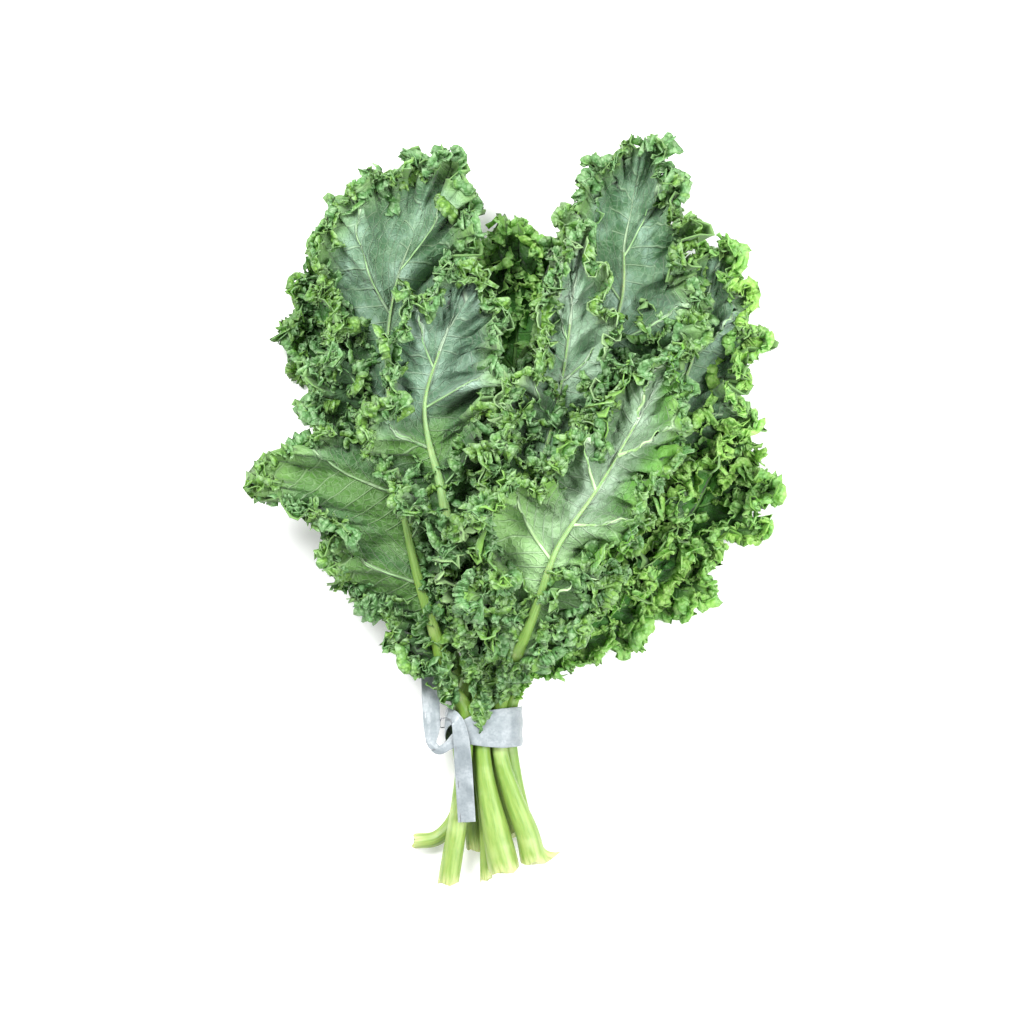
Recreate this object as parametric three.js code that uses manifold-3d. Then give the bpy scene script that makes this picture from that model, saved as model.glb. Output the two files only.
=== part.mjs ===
// A bunch of curly kale, lying on its side on a table: ten long-stalked leaves with lobed, ruffled
// blades, held by a wide paper twist tie with a steel wire laminated into it.
// Millimetres, +Z up, +Y from the cut stalk ends to the leaf tips, +X to the right as seen from above.
import * as THREE from "three";
import { mergeVertices } from "three/addons/utils/BufferGeometryUtils.js";
import Module from "manifold-3d";

const wasm = await Module();
wasm.setup();

// Driving dimensions
const BLADE_THICKNESS = 0.8;
const RUFFLE_LENGTH = 23; // one wave of the ruffle, measured along the flat margin
const RUFFLE_HEIGHT = 7.5; // from the blade's mean surface to a crest, at the margin
const RUFFLE_SWAY = 2.3; // sideways swing that makes each crest lean over its slopes
const RUFFLE_POWER = 2.2; // how late the ruffle rises on the way from midrib to margin
const RUFFLE_WIDTHS = [6, 24]; // half widths of blade at which the ruffle is nil and full
const RUFFLE_SWELL = 0.2; // share by which its waves grow and shrink along the margin
const SWELL_RATE = 0.17; // how far that growth goes round in one wave, in turns
const LOBE_LENGTH = 42; // of the midrib, for each lobe
const LOBE_DEPTH = 0.34; // share of the half width that a notch between two lobes cuts away
const NOTCH_POWER = 3; // how narrow the notches are beside the lobes
const LOBE_LIFT = 5; // every other lobe stands this far above or below the blade
const VEIN_LEAN = 0.35; // radians that the lowest side veins lean towards the tip
const LEAN_POWER = 6; // how late they swing round to point straight at the tip
const TIP_STARTS = 0.7; // share of the blade past which its two sides grow into one round tip
const MIDRIB_END = 0.93; // where the midrib runs out, as a share of the whole leaf
const MIDRIB_TIP_RADIUS = 0.7;
const MIDRIB_PROUD = 0.45; // how far the midrib's middle stands out of the blade, in its own radii
const MIDRIB_RISES = [-0.03, 0.05]; // shares of the leaf from blade start over which it does so
const MIDRIB_TAPER = 0.8; // power of the midrib's taper: under 1 it is quickest at first
const FLARE_END = 0.85; // where the cut end's swelling is over, as a share of the way to the tie
const STALK_FLATNESS = 0.86; // thickness of a stalk beside its width
const LEAF_GAP = 1.2; // left between a leaf and those it lies on
const TIE_Y = -110; // the middle of the tie
const TIE_REACH = 10; // the stalks run straight this far either side of it
const SETTLED_ABOVE = [-98, -66]; // Y range over which stalks pass from the bundle to the free heap

// How finely the meshes are cut
const RUFFLE_STEPS = 4; // columns of a blade's mesh in one wave
const ROWS = [0.42, 0.74, 1]; // its rows, as shares of the way from midrib to margin
const STALK_SIDES = 8;
const STALK_RINGS = 15;
const TIE_STEPS = 2; // rings of the tie's mesh from each station to the next
const WIRE_SIDES = 6;
const OUTLINE_STEPS = 400; // in measuring the length of a margin
const SPINE_STEP = 0.002; // share of the spine by which a place on it is looked for

// Each leaf, from the lowest in the heap to the topmost.
// stalk: points from the cut end to the tie. tied: X and Z of its place in the tied bundle.
// spine: points from the tie to the tip. bladeY: where on it the blade starts.
// left and right: half widths at even stations from blade start to tip, seen from above.
// curl: degrees that [left, right] margins are rolled towards the viewer, at blade start and at tip.
// under: the pale underside, with its raised midrib, faces up. radii: at the cut, tie and blade.
// ruffle: the ruffle's height, where it isn't RUFFLE_HEIGHT: nothing lies on the topmost leaf.
const LEAVES = [
  {
    name: "leaf_back_middle", under: false, bladeY: -74, radii: [4.4, 3.9, 3.6], phase: 0.3,
    stalk: [[-7, -158, 5.5], [-9.5, -138, 6.8]], tied: [-11.8, 8.2],
    spine: [[-9, -78, 6], [-4, -40, 2], [0, 10, 2], [2, 66, 2], [4, 94, 2.5], [4, 108, 4]],
    left: [8, 40, 48, 52, 42], right: [8, 40, 48, 50, 42], curl: [[12, 20], [12, 20]],
  },
  {
    name: "leaf_back_left", under: false, bladeY: -72, radii: [3.9, 3.9, 3.5], phase: 1.1,
    stalk: [[-48, -168, 4.4], [-37, -166.5, 4.2], [-28, -157, 3.9], [-23.5, -140, 4.4]], tied: [-20.2, 8.2],
    spine: [[-28, -76, 6], [-48, -30, 2], [-67, 15, 2], [-80, 60, 2], [-88, 92, 2.5], [-88, 106, 4]],
    left: [8, 30, 32, 28, 34], right: [8, 34, 40, 38, 32], curl: [[20, 10], [10, 20]],
  },
  {
    name: "leaf_back_right", under: false, bladeY: -76, radii: [4.2, 3.9, 3.5], phase: 2.0,
    stalk: [[1, -154, 4.6], [-1, -138, 6]], tied: [-3.4, 8.2],
    spine: [[8, -80, 6], [34, -54, 2], [64, -34, 2], [89, -8, 2], [104, 20, 2.5], [109, 38, 4]],
    left: [8, 34, 42, 40, 30], right: [8, 24, 34, 34, 20], curl: [[10, 20], [30, 20]],
  },
  {
    name: "leaf_low_right", under: false, bladeY: -84, radii: [4.2, 3.9, 3.2], phase: 0.7,
    stalk: [[9.5, -166, 9.5], [4.5, -144, 12]], tied: [0.5, 15.9],
    spine: [[9, -82, 18], [26, -64, 20], [46, -50, 22], [64, -38, 22], [74, -32, 22]],
    left: [8, 30, 34, 32, 24], right: [8, 20, 26, 14, 14], curl: [[20, 20], [-10, -20]],
  },
  {
    name: "leaf_right", under: true, bladeY: -78, radii: [4.4, 3.9, 3.6], phase: 1.7,
    stalk: [[1, -165, 12.5], [-4, -144, 14]], tied: [-7.8, 15.9],
    spine: [[0, -80, 18], [26, -42, 24], [55, 0, 30], [80, 46, 34], [95, 84, 34], [101, 106, 32]],
    left: [8, 40, 46, 42, 36], right: [8, 34, 40, 40, 32], curl: [[20, 25], [25, 20]],
  },
  {
    name: "leaf_top_right", under: true, bladeY: -60, radii: [3.2, 3.9, 3.6], phase: 2.6,
    stalk: [[-11.5, -187, 13], [-11.8, -160, 14.8], [-13.6, -140, 15.6]], tied: [-16.4, 15.9],
    spine: [[-9, -80, 18], [12, -32, 28], [33, 28, 38], [48, 76, 44], [57, 110, 46], [58, 134, 44],
      [62, 154, 42]],
    left: [8, 36, 46, 50, 40], right: [8, 36, 44, 50, 40], curl: [[40, 35], [30, 20]],
  },
  {
    name: "leaf_left", under: true, bladeY: -84, radii: [5.4, 3.9, 3.8], phase: 1.4,
    stalk: [[-30.5, -188, 13], [-27, -165, 16.4], [-23.5, -138, 21]], tied: [-22, 23.5],
    spine: [[-30, -88, 27], [-37, -62, 34], [-47, -28, 39], [-54, 6, 43], [-59, 42, 46], [-61, 82, 46],
      [-56, 116, 44], [-48, 138, 42]],
    left: [14, 30, 48, 80, 56, 40, 54, 58, 46], right: [6, 18, 28, 28, 28, 34, 46, 52, 46],
    curl: [[-12, 20], [50, 10]],
  },
  {
    name: "leaf_centre_left", under: true, bladeY: -20, radii: [4.2, 3.9, 3.6], phase: 2.2,
    stalk: [[-17.5, -171, 7.2], [-18.8, -152, 10], [-22.2, -134, 13.4]], tied: [-24.7, 15.9],
    spine: [[-20, -82, 17.5], [-24, -46, 38], [-33, 8, 56], [-42, 50, 64], [-35, 78, 68], [-27, 98, 69]],
    left: [8, 30, 34, 36, 30], right: [10, 38, 46, 42, 30], curl: [[30, 30], [30, 40]],
  },
  {
    name: "leaf_centre", under: true, bladeY: -84, radii: [7.8, 3.9, 3.6], phase: 0.2,
    stalk: [[-2.3, -181, 21.5], [-6, -165, 23.2], [-10.5, -143, 24]], tied: [-13.4, 23.5],
    spine: [[-13, -84, 28], [-6, -40, 40], [10, 5, 50], [22, 44, 55], [29, 82, 56], [32, 114, 56]],
    left: [12, 38, 40, 26, 24], right: [12, 42, 48, 36, 26], curl: [[80, 35], [80, 30]],
  },
  {
    name: "leaf_front_right", under: true, bladeY: -82, radii: [6.4, 3.9, 3.4], phase: 0.9,
    stalk: [[12.5, -178, 19], [9.7, -165, 21], [2.6, -146, 22.8]], tied: [-4.8, 23.5],
    spine: [[-1.5, -85, 28.5], [6, -67, 37], [14, -46, 47], [24, -18, 58], [45, 13, 66], [62, 42, 69],
      [72, 60, 68]],
    left: [12, 46, 50, 38, 30, 22], right: [12, 34, 36, 34, 30, 22], curl: [[45, 60], [20, -40]],
    ruffle: 14,
  },
];

// The tie is one strip with its two ends twisted together on the bundle's upper left and then flattened.
// Each station: its place, the way that its width runs, its width and its thickness at the edges.
const TIE_WIRE_RADIUS = 0.25;
const TIE_WIRE_ROOM = 0.3; // between the wire and the strip that is pressed round it
const TIE_CORE = 0.95; // half thickness of the strip over its wire
const TIE_CORE_WIDTH = 1.5;
const TIE = [
  { at: [-21.3, -157, 25], across: [1, 0, 0], width: 9, edge: 1.2 },
  { at: [-22.2, -142, 27.4], across: [1, 0, 0], width: 9, edge: 1.2 },
  { at: [-23.2, -126, 30.4], across: [1, 0, 0], width: 9, edge: 1.2 },
  { at: [-24.4, -113, 32.6], across: [1, 0.1, 0], width: 8, edge: 1.2 },
  { at: [-26.6, -105, 33], across: [0.75, 0.65, 0], width: 6, edge: 1.5 },
  { at: [-31, -104.5, 28.5], across: [0.2, 1, 0], width: 11, edge: 1.1 },
  { at: [-31.8, -108.5, 20], across: [0, 1, 0], width: 17, edge: 0.8 },
  { at: [-31.2, -110, 10], across: [0, 1, 0], width: 19, edge: 0.8 },
  { at: [-26, -110, 3.4], across: [0, 1, 0], width: 19, edge: 0.8 },
  { at: [-15, -110, 2.4], across: [0, 1, 0], width: 19, edge: 0.8 },
  { at: [-2, -110, 2.6], across: [0, 1, 0], width: 19, edge: 0.8 },
  { at: [4.6, -109.5, 7], across: [0, 1, 0], width: 19.5, edge: 0.8 },
  { at: [6.4, -109, 15], across: [0, 1, 0], width: 20, edge: 0.8 },
  { at: [4.2, -109, 24], across: [0, 1, 0], width: 20, edge: 0.8 },
  { at: [-3, -109.5, 28.8], across: [0, 1, 0], width: 20, edge: 0.8 },
  { at: [-13, -110, 28.9], across: [-0.05, 1, 0], width: 18, edge: 0.8 },
  { at: [-20, -111.5, 29], across: [-0.25, 1, 0], width: 14, edge: 0.9 },
  { at: [-26, -114.5, 29.4], across: [-0.5, 0.85, 0], width: 7, edge: 1.4 },
  { at: [-31, -118.5, 30], across: [-0.6, 0.8, 0], width: 4.5, edge: 1.6 },
  { at: [-35.5, -120.5, 29.6], across: [0.1, 1, 0], width: 4.5, edge: 1.6 },
  { at: [-38.8, -117.5, 28.4], across: [1, 0.3, 0], width: 4.5, edge: 1.6 },
  { at: [-39, -109, 26.4], across: [1, 0, 0], width: 8.5, edge: 1.2 },
  { at: [-39.6, -94, 21.5], across: [1, 0, 0], width: 9, edge: 1.2 },
  { at: [-40.3, -79, 16], across: [1, 0, 0], width: 9, edge: 1.2 },
];

const TURN = 2 * Math.PI;
const radians = THREE.MathUtils.degToRad;
const smooth = THREE.MathUtils.smoothstep;
const mix = THREE.MathUtils.lerp;

// A value between even stations, by a smooth step from each to the next.
function between(values, share) {
  const place = Math.min(Math.max(share, 0), 1) * (values.length - 1);
  const i = Math.min(Math.floor(place), values.length - 2);
  return mix(values[i], values[i + 1], smooth(place - i, 0, 1));
}

// The spine's point and its frame: along to the tip, up to the viewer and left as seen from above.
function frameAt(leaf, share) {
  const at = leaf.curve.getPointAt(share);
  const along = leaf.curve.getTangentAt(share);
  const up = new THREE.Vector3(0, 0, 1).addScaledVector(along, -along.z).normalize();
  const left = new THREE.Vector3().crossVectors(up, along);
  return { at, along, up, left };
}

// Half width of one side of the blade, lobes included, at share t from blade start to tip.
function halfWidth(leaf, side, t) {
  const plain = between(side > 0 ? leaf.left : leaf.right, t);
  const lobe = Math.cos(TURN * (leaf.lobes * t + leaf.phase + (side > 0 ? 0 : 0.5)));
  const notch = Math.pow(0.5 + 0.5 * lobe, NOTCH_POWER) * (1 - smooth(t, TIP_STARTS, 1));
  return plain * (1 - LOBE_DEPTH * notch);
}

// How far the side veins lean forward from straight across, in radians: all the way at the tip.
function veinLean(t) {
  return mix(VEIN_LEAN, Math.PI / 2, Math.pow(t, LEAN_POWER));
}

// Radians that one side's margin is rolled towards the viewer. Both sides roll alike at the tip.
function marginCurl(leaf, side, t) {
  const [left, right] = leaf.curl.map(([start, tip]) => radians(mix(start, tip, t)));
  const own = side > 0 ? left : right;
  return mix(own, (left + right) / 2, smooth(t, TIP_STARTS, 1)) || 1e-6;
}

// A point of the blade's mean surface. side is 1 on the left and -1 on the right, t runs from blade
// start to tip, s from midrib to margin, and wave is the ruffle's phase in turns.
function bladePoint(leaf, side, t, s, wave) {
  const { at, along, up, left } = frameAt(leaf, mix(leaf.blade, 1, t));
  const width = halfWidth(leaf, side, t);
  const curl = marginCurl(leaf, side, t);
  const lean = veinLean(t);
  const blend = (a, shareA, b, shareB) => a.clone().multiplyScalar(shareA).addScaledVector(b, shareB);
  const out = blend(left, side * Math.cos(lean), along, Math.sin(lean));
  const sidelong = blend(along, Math.cos(lean), left, -side * Math.sin(lean));
  const normal = blend(up, Math.cos(curl * s), out, -Math.sin(curl * s));
  const across = (width * Math.sin(curl * s)) / curl;
  const rise = (width * (1 - Math.cos(curl * s))) / curl;

  const swell = 1 + RUFFLE_SWELL * (Math.sin(TURN * (wave * SWELL_RATE + leaf.phase)) - 1);
  const frill = smooth(width, ...RUFFLE_WIDTHS) * Math.pow(s, RUFFLE_POWER);
  const height = leaf.ruffle ?? RUFFLE_HEIGHT;
  const ruffle = height * swell * frill * Math.sin(TURN * wave);
  const sway = RUFFLE_SWAY * frill * Math.sin(2 * TURN * wave);
  const lobeTurn = TURN * ((leaf.lobes / 2) * t + leaf.phase + (side > 0 ? 0 : 0.25));
  const lobeLift = LOBE_LIFT * s * Math.sin(lobeTurn) * (1 - smooth(t, TIP_STARTS, 1));
  return at
    .addScaledVector(out, across)
    .addScaledVector(up, rise)
    .addScaledVector(normal, ruffle + lobeLift)
    .addScaledVector(sidelong, sway);
}

// The margin runs from the blade's left base round the tip to its right base. Columns of the mesh
// stand at even steps of its length, a whole number of ruffle waves in all.
function marginColumns(leaf) {
  const marks = [];
  let length = 0;
  let before = null;
  for (let i = 0; i <= OUTLINE_STEPS; i++) {
    const q = (2 * i) / OUTLINE_STEPS - 1; // -1 at the left base, 0 at the tip, 1 at the right base
    const side = q < 0 ? 1 : -1;
    const t = 1 - Math.abs(q);
    const { at, along, left } = frameAt(leaf, mix(leaf.blade, 1, t));
    const width = halfWidth(leaf, side, t);
    at.addScaledVector(left, side * width * Math.cos(veinLean(t)));
    at.addScaledVector(along, width * Math.sin(veinLean(t)));
    length += before ? at.distanceTo(before) : 0;
    before = at;
    marks.push({ q, length });
  }
  const waves = Math.round(length / RUFFLE_LENGTH);
  const columns = [];
  for (let j = 0, i = 0; j <= waves * RUFFLE_STEPS; j++) {
    const wanted = (length * j) / (waves * RUFFLE_STEPS);
    while (i < OUTLINE_STEPS - 1 && marks[i + 1].length < wanted) i++;
    const part = (wanted - marks[i].length) / (marks[i + 1].length - marks[i].length);
    columns.push({ q: mix(marks[i].q, marks[i + 1].q, Math.min(part, 1)), wave: j / RUFFLE_STEPS });
  }
  return columns;
}

// The heap that the leaves lie in: a map of its top, in square cells. Each leaf laid on it rises, by
// a lift that changes smoothly over the map, until it clears all that lies below.
const CELL = 4;
const MAP_HALF = [160, 220];
const MAP_SIZE = MAP_HALF.map((half) => (2 * half) / CELL);
const SPREAD_CELLS = 4;
const SAMPLE_SPACING = 1.5;
const heapTop = new Float64Array(MAP_SIZE[0] * MAP_SIZE[1]).fill(-Infinity);

function cellOf(x, y) {
  const i = Math.floor((x + MAP_HALF[0]) / CELL);
  const j = Math.floor((y + MAP_HALF[1]) / CELL);
  return j * MAP_SIZE[0] + i;
}

// Each cell of the map takes what combine makes of the cells within radius of it, first along X and
// then along Y.
function filtered(map, radius, combine) {
  const sweep = (from, count, stride, lines, lineStride) => {
    const made = new Float64Array(from.length);
    for (let line = 0; line < lines; line++) {
      const cell = (i) => line * lineStride + i * stride;
      for (let i = 0; i < count; i++) {
        const near = [];
        for (let k = Math.max(0, i - radius); k <= Math.min(count - 1, i + radius); k++) {
          near.push(from[cell(k)]);
        }
        made[cell(i)] = combine(near);
      }
    }
    return made;
  };
  const [nx, ny] = MAP_SIZE;
  return sweep(sweep(map, nx, 1, ny, nx), ny, nx, nx, 1);
}

const largest = (values) => Math.max(...values);
const average = (values) => values.reduce((sum, value) => sum + value, 0) / values.length;

function liftMap(samples) {
  const need = new Float64Array(heapTop.length);
  for (const [x, y, low] of samples) {
    const cell = cellOf(x, y);
    need[cell] = Math.max(need[cell], heapTop[cell] + LEAF_GAP - low);
  }
  const widened = filtered(need, SPREAD_CELLS, largest);
  return filtered(filtered(widened, SPREAD_CELLS / 2, average), SPREAD_CELLS / 2, average);
}

// The lift at a place, between the four nearest cell centres, and none where the tie holds.
function liftAt(map, x, y) {
  const u = (x + MAP_HALF[0]) / CELL - 0.5;
  const v = (y + MAP_HALF[1]) / CELL - 0.5;
  const i = Math.floor(u);
  const j = Math.floor(v);
  const at = (a, b) => map[b * MAP_SIZE[0] + a];
  const low = mix(at(i, j), at(i + 1, j), u - i);
  const high = mix(at(i, j + 1), at(i + 1, j + 1), u - i);
  return mix(low, high, v - j) * smooth(y, ...SETTLED_ABOVE);
}

// Radius of the stalk and midrib at a share of the spine. The stalk is fullest at its cut end.
function stalkRadius(leaf, share) {
  const [cut, tied, start] = leaf.radii;
  if (share < leaf.tieShare) {
    return mix(cut, tied, smooth(share, 0, FLARE_END * leaf.tieShare));
  }
  if (share < leaf.blade) {
    return mix(tied, start, (share - leaf.tieShare) / (leaf.blade - leaf.tieShare));
  }
  const done = (share - leaf.blade) / (MIDRIB_END - leaf.blade);
  return mix(start, MIDRIB_TIP_RADIUS, Math.pow(done, MIDRIB_TAPER));
}

// The stalk and midrib: a tapering tube that stands out of the blade's underside.
function stalkRing(leaf, share) {
  const { at, up, left } = frameAt(leaf, share);
  const radius = stalkRadius(leaf, share);
  const inBlade = smooth(share, leaf.blade + MIDRIB_RISES[0], leaf.blade + MIDRIB_RISES[1]);
  const proud = (leaf.under ? 1 : -1) * MIDRIB_PROUD * radius * inBlade;
  const ring = [];
  for (let k = 0; k < STALK_SIDES; k++) {
    const angle = (TURN * (k + 0.5)) / STALK_SIDES;
    const point = at.clone().addScaledVector(left, radius * Math.cos(angle));
    ring.push(point.addScaledVector(up, proud + STALK_FLATNESS * radius * Math.sin(angle)));
  }
  return ring;
}

// The blade's mean surface as points and triangles. Its middle has one column of points for each
// ruffle wave, and its two outer strips have RUFFLE_STEPS.
function bladeSheet(leaf) {
  const columns = marginColumns(leaf);
  const points = [];
  const triangles = [];
  const add = ({ q, wave }, s) => {
    points.push(bladePoint(leaf, q < 0 ? 1 : -1, 1 - Math.abs(q), s, wave));
    return points.length - 1;
  };
  const rib = [];
  const rows = ROWS.map(() => []);
  for (let j = 0; j < columns.length; j++) {
    if (j % RUFFLE_STEPS === 0) {
      const twin = columns.length - 1 - j;
      rib[j] = rib[twin] ?? add(columns[j], 0);
      rows[0][j] = add(columns[j], ROWS[0]);
    }
    rows[1][j] = add(columns[j], ROWS[1]);
    rows[2][j] = add(columns[j], ROWS[2]);
  }
  for (let j = 0; j + 1 < columns.length; j += RUFFLE_STEPS) {
    const k = j + RUFFLE_STEPS;
    const middle = j + RUFFLE_STEPS / 2;
    triangles.push([rib[j], rib[k], rows[0][k]], [rib[j], rows[0][k], rows[0][j]]);
    triangles.push([rows[0][j], rows[0][k], rows[1][middle]]);
    for (let i = j; i < k; i++) {
      triangles.push([i < middle ? rows[0][j] : rows[0][k], rows[1][i + 1], rows[1][i]]);
      triangles.push([rows[1][i], rows[1][i + 1], rows[2][i + 1]], [rows[1][i], rows[2][i + 1], rows[2][i]]);
    }
  }
  return { points, triangles: triangles.filter(([a, b, c]) => a !== b && b !== c && c !== a) };
}

// Points spread over a leaf for the heap's map, as [x, y, lowest z, highest z].
function samplesOf(leaf) {
  const samples = [];
  const half = BLADE_THICKNESS / 2;
  for (const corners of leaf.sheet.triangles) {
    const [a, b, c] = corners.map((index) => leaf.sheet.points[index]);
    const steps = Math.ceil(Math.max(a.distanceTo(b), b.distanceTo(c), c.distanceTo(a)) / SAMPLE_SPACING);
    for (let i = 0; i <= steps; i++) {
      for (let j = 0; i + j <= steps; j++) {
        const point = a.clone().multiplyScalar((steps - i - j) / steps);
        point.addScaledVector(b, i / steps).addScaledVector(c, j / steps);
        samples.push([point.x, point.y, point.z - half, point.z + half]);
      }
    }
  }
  for (let k = 0; k + 1 < leaf.rings.length; k++) {
    const steps = Math.ceil(leaf.rings[k][0].distanceTo(leaf.rings[k + 1][0]) / SAMPLE_SPACING);
    for (let i = 0; i <= steps; i++) {
      leaf.rings[k].forEach((from, side) => {
        const point = from.clone().lerp(leaf.rings[k + 1][side], i / steps);
        samples.push([point.x, point.y, point.z, point.z]);
      });
    }
  }
  return samples;
}

// Lays a leaf on the heap, no lower than the table at Z 0, and adds it to the heap's map.
function layOnHeap(leaf) {
  const lift = liftMap(samplesOf(leaf));
  const settle = (point, lowest) => {
    point.z = Math.max(point.z + liftAt(lift, point.x, point.y), lowest);
  };
  leaf.sheet.points.forEach((point) => settle(point, BLADE_THICKNESS / 2));
  leaf.rings.flat().forEach((point) => settle(point, 0));
  for (const [x, y, , high] of samplesOf(leaf)) {
    const cell = cellOf(x, y);
    heapTop[cell] = Math.max(heapTop[cell], high);
  }
}

// The blade as one closed thin shell, split into triangles alike on both faces.
function bladeGeometry({ points, triangles }) {
  const sheet = new THREE.BufferGeometry().setFromPoints(points);
  sheet.setIndex(triangles.flat());
  sheet.computeVertexNormals();
  const normal = new THREE.Vector3();
  const positions = [];
  for (const face of [1, -1]) {
    points.forEach((point, index) => {
      normal.fromBufferAttribute(sheet.attributes.normal, index);
      positions.push(...point.clone().addScaledVector(normal, (face * BLADE_THICKNESS) / 2).toArray());
    });
  }
  const count = points.length;
  const edges = new Map();
  const index = [];
  for (const [a, b, c] of triangles) {
    index.push(a, b, c, a + count, c + count, b + count);
    for (const [from, to] of [[a, b], [b, c], [c, a]]) edges.set(`${from},${to}`, [from, to]);
  }
  for (const [from, to] of edges.values()) {
    if (!edges.has(`${to},${from}`)) index.push(to, from, from + count, to, from + count, to + count);
  }
  const shell = new THREE.BufferGeometry();
  shell.setAttribute("position", new THREE.Float32BufferAttribute(positions, 3));
  shell.setIndex(index);
  return shell;
}

// A closed tube through rings of points, with a fan at each end.
function tubeGeometry(rings) {
  const sides = rings[0].length;
  const index = [];
  for (let k = 0; k + 1 < rings.length; k++) {
    for (let i = 0; i < sides; i++) {
      const [a, b] = [k * sides + i, k * sides + ((i + 1) % sides)];
      index.push(a, b, b + sides, a, b + sides, a + sides);
    }
  }
  const last = (rings.length - 1) * sides;
  for (let i = 1; i + 1 < sides; i++) {
    index.push(0, i + 1, i, last, last + i, last + i + 1);
  }
  const tube = new THREE.BufferGeometry().setFromPoints(rings.flat());
  tube.setIndex(index);
  return tube;
}

// A closed solid for joining and cutting, with its faces turned outwards whichever way they ran.
function solidFrom(geometry) {
  const merged = mergeVertices(geometry, 1e-4);
  const build = (triangles) =>
    new wasm.Manifold(
      new wasm.Mesh({
        numProp: 3,
        vertProperties: new Float32Array(merged.attributes.position.array),
        triVerts: new Uint32Array(triangles),
      }),
    );
  const solid = build(merged.index.array);
  return solid.volume() > 0 ? solid : build(merged.index.array.toReversed());
}

function geometryFrom(solid) {
  const { vertProperties, triVerts } = solid.getMesh();
  const geometry = new THREE.BufferGeometry();
  geometry.setAttribute("position", new THREE.BufferAttribute(vertProperties, 3));
  geometry.setIndex(new THREE.BufferAttribute(triVerts, 1));
  return geometry;
}

// One leaf: its spine, blade and stalk, laid on the heap and joined in one solid.
function growLeaf(leaf) {
  const [x, z] = leaf.tied;
  const held = [TIE_Y - TIE_REACH, TIE_Y + TIE_REACH].map((y) => [x, y, z]);
  const spine = [...leaf.stalk, ...held, ...leaf.spine].map((point) => new THREE.Vector3(...point));
  leaf.curve = new THREE.CatmullRomCurve3(spine);
  const shareAtY = (y) => {
    let share = 0;
    while (leaf.curve.getPointAt(share).y < y) share += SPINE_STEP;
    return share;
  };
  leaf.tieShare = shareAtY(TIE_Y);
  leaf.blade = shareAtY(leaf.bladeY);
  leaf.lobes = Math.round((leaf.curve.getLength() * (1 - leaf.blade)) / LOBE_LENGTH);
  leaf.sheet = bladeSheet(leaf);
  leaf.rings = [];
  for (let k = 0; k < STALK_RINGS; k++) {
    leaf.rings.push(stalkRing(leaf, (MIDRIB_END * k) / (STALK_RINGS - 1)));
  }
  layOnHeap(leaf);
  // A scrap that the join leaves loose inside the leaf is dropped.
  const whole = solidFrom(bladeGeometry(leaf.sheet)).add(solidFrom(tubeGeometry(leaf.rings)));
  const bodies = whole.decompose().sort((a, b) => b.volume() - a.volume());
  return bodies[0];
}

// A solid swept along the tie's stations. section gives its outline for a width and edge thickness.
function alongTie(section) {
  const path = new THREE.CatmullRomCurve3(TIE.map(({ at }) => new THREE.Vector3(...at)));
  const last = TIE.length - 1;
  const rings = [];
  for (let k = 0; k <= last * TIE_STEPS; k++) {
    const place = k / TIE_STEPS;
    const i = Math.min(Math.floor(place), last - 1);
    const [from, to, share] = [TIE[i], TIE[i + 1], place - i];
    const at = path.getPoint(place / last);
    const along = path.getTangent(place / last);
    const across = new THREE.Vector3(...from.across).lerp(new THREE.Vector3(...to.across), share);
    across.addScaledVector(along, -across.dot(along)).normalize();
    const up = new THREE.Vector3().crossVectors(across, along);
    const outline = section(mix(from.width, to.width, share), mix(from.edge, to.edge, share));
    rings.push(outline.map(([u, v]) => at.clone().addScaledVector(across, u).addScaledVector(up, v)));
  }
  return solidFrom(tubeGeometry(rings));
}

// A flat strip that is thicker over its wire.
function stripSection(width, edge) {
  const [side, core, half] = [width / 2, TIE_CORE_WIDTH / 2, edge / 2];
  const upper = [[-side, half], [-core, TIE_CORE], [core, TIE_CORE], [side, half]];
  return [...upper, ...upper.map(([u, v]) => [u, -v]).reverse()];
}

// A round outline of the given radius to its flats.
function roundSection(radius) {
  const corner = radius / Math.cos(Math.PI / WIRE_SIDES);
  const angles = Array.from({ length: WIRE_SIDES }, (_, k) => (TURN * k) / WIRE_SIDES);
  return () => angles.map((angle) => [corner * Math.cos(angle), corner * Math.sin(angle)]);
}

const bunch = new THREE.Group();

function addPiece(name, solid, color, roughness, metalness) {
  const material = new THREE.MeshStandardMaterial({ color, roughness, metalness });
  const mesh = new THREE.Mesh(geometryFrom(solid), material);
  mesh.name = name;
  bunch.add(mesh);
}

const UPPER_GREEN = 0x4c8a37;
const UNDERSIDE_GREEN = 0x86a583;
for (const leaf of LEAVES) {
  addPiece(leaf.name, growLeaf(leaf), leaf.under ? UNDERSIDE_GREEN : UPPER_GREEN, 0.5, 0);
}

const strip = alongTie(stripSection).subtract(alongTie(roundSection(TIE_WIRE_RADIUS + TIE_WIRE_ROOM)));
addPiece("tie_strip", strip, 0xe4e6ee, 0.45, 0);
addPiece("tie_wire", alongTie(roundSection(TIE_WIRE_RADIUS)), 0x8e9094, 0.35, 1);

// The origin is on the table, below the middle of the whole bunch.
const box = new THREE.Box3().setFromObject(bunch);
const centre = box.getCenter(new THREE.Vector3());
bunch.position.set(-centre.x, -centre.y, -box.min.z);

export default bunch;
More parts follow.
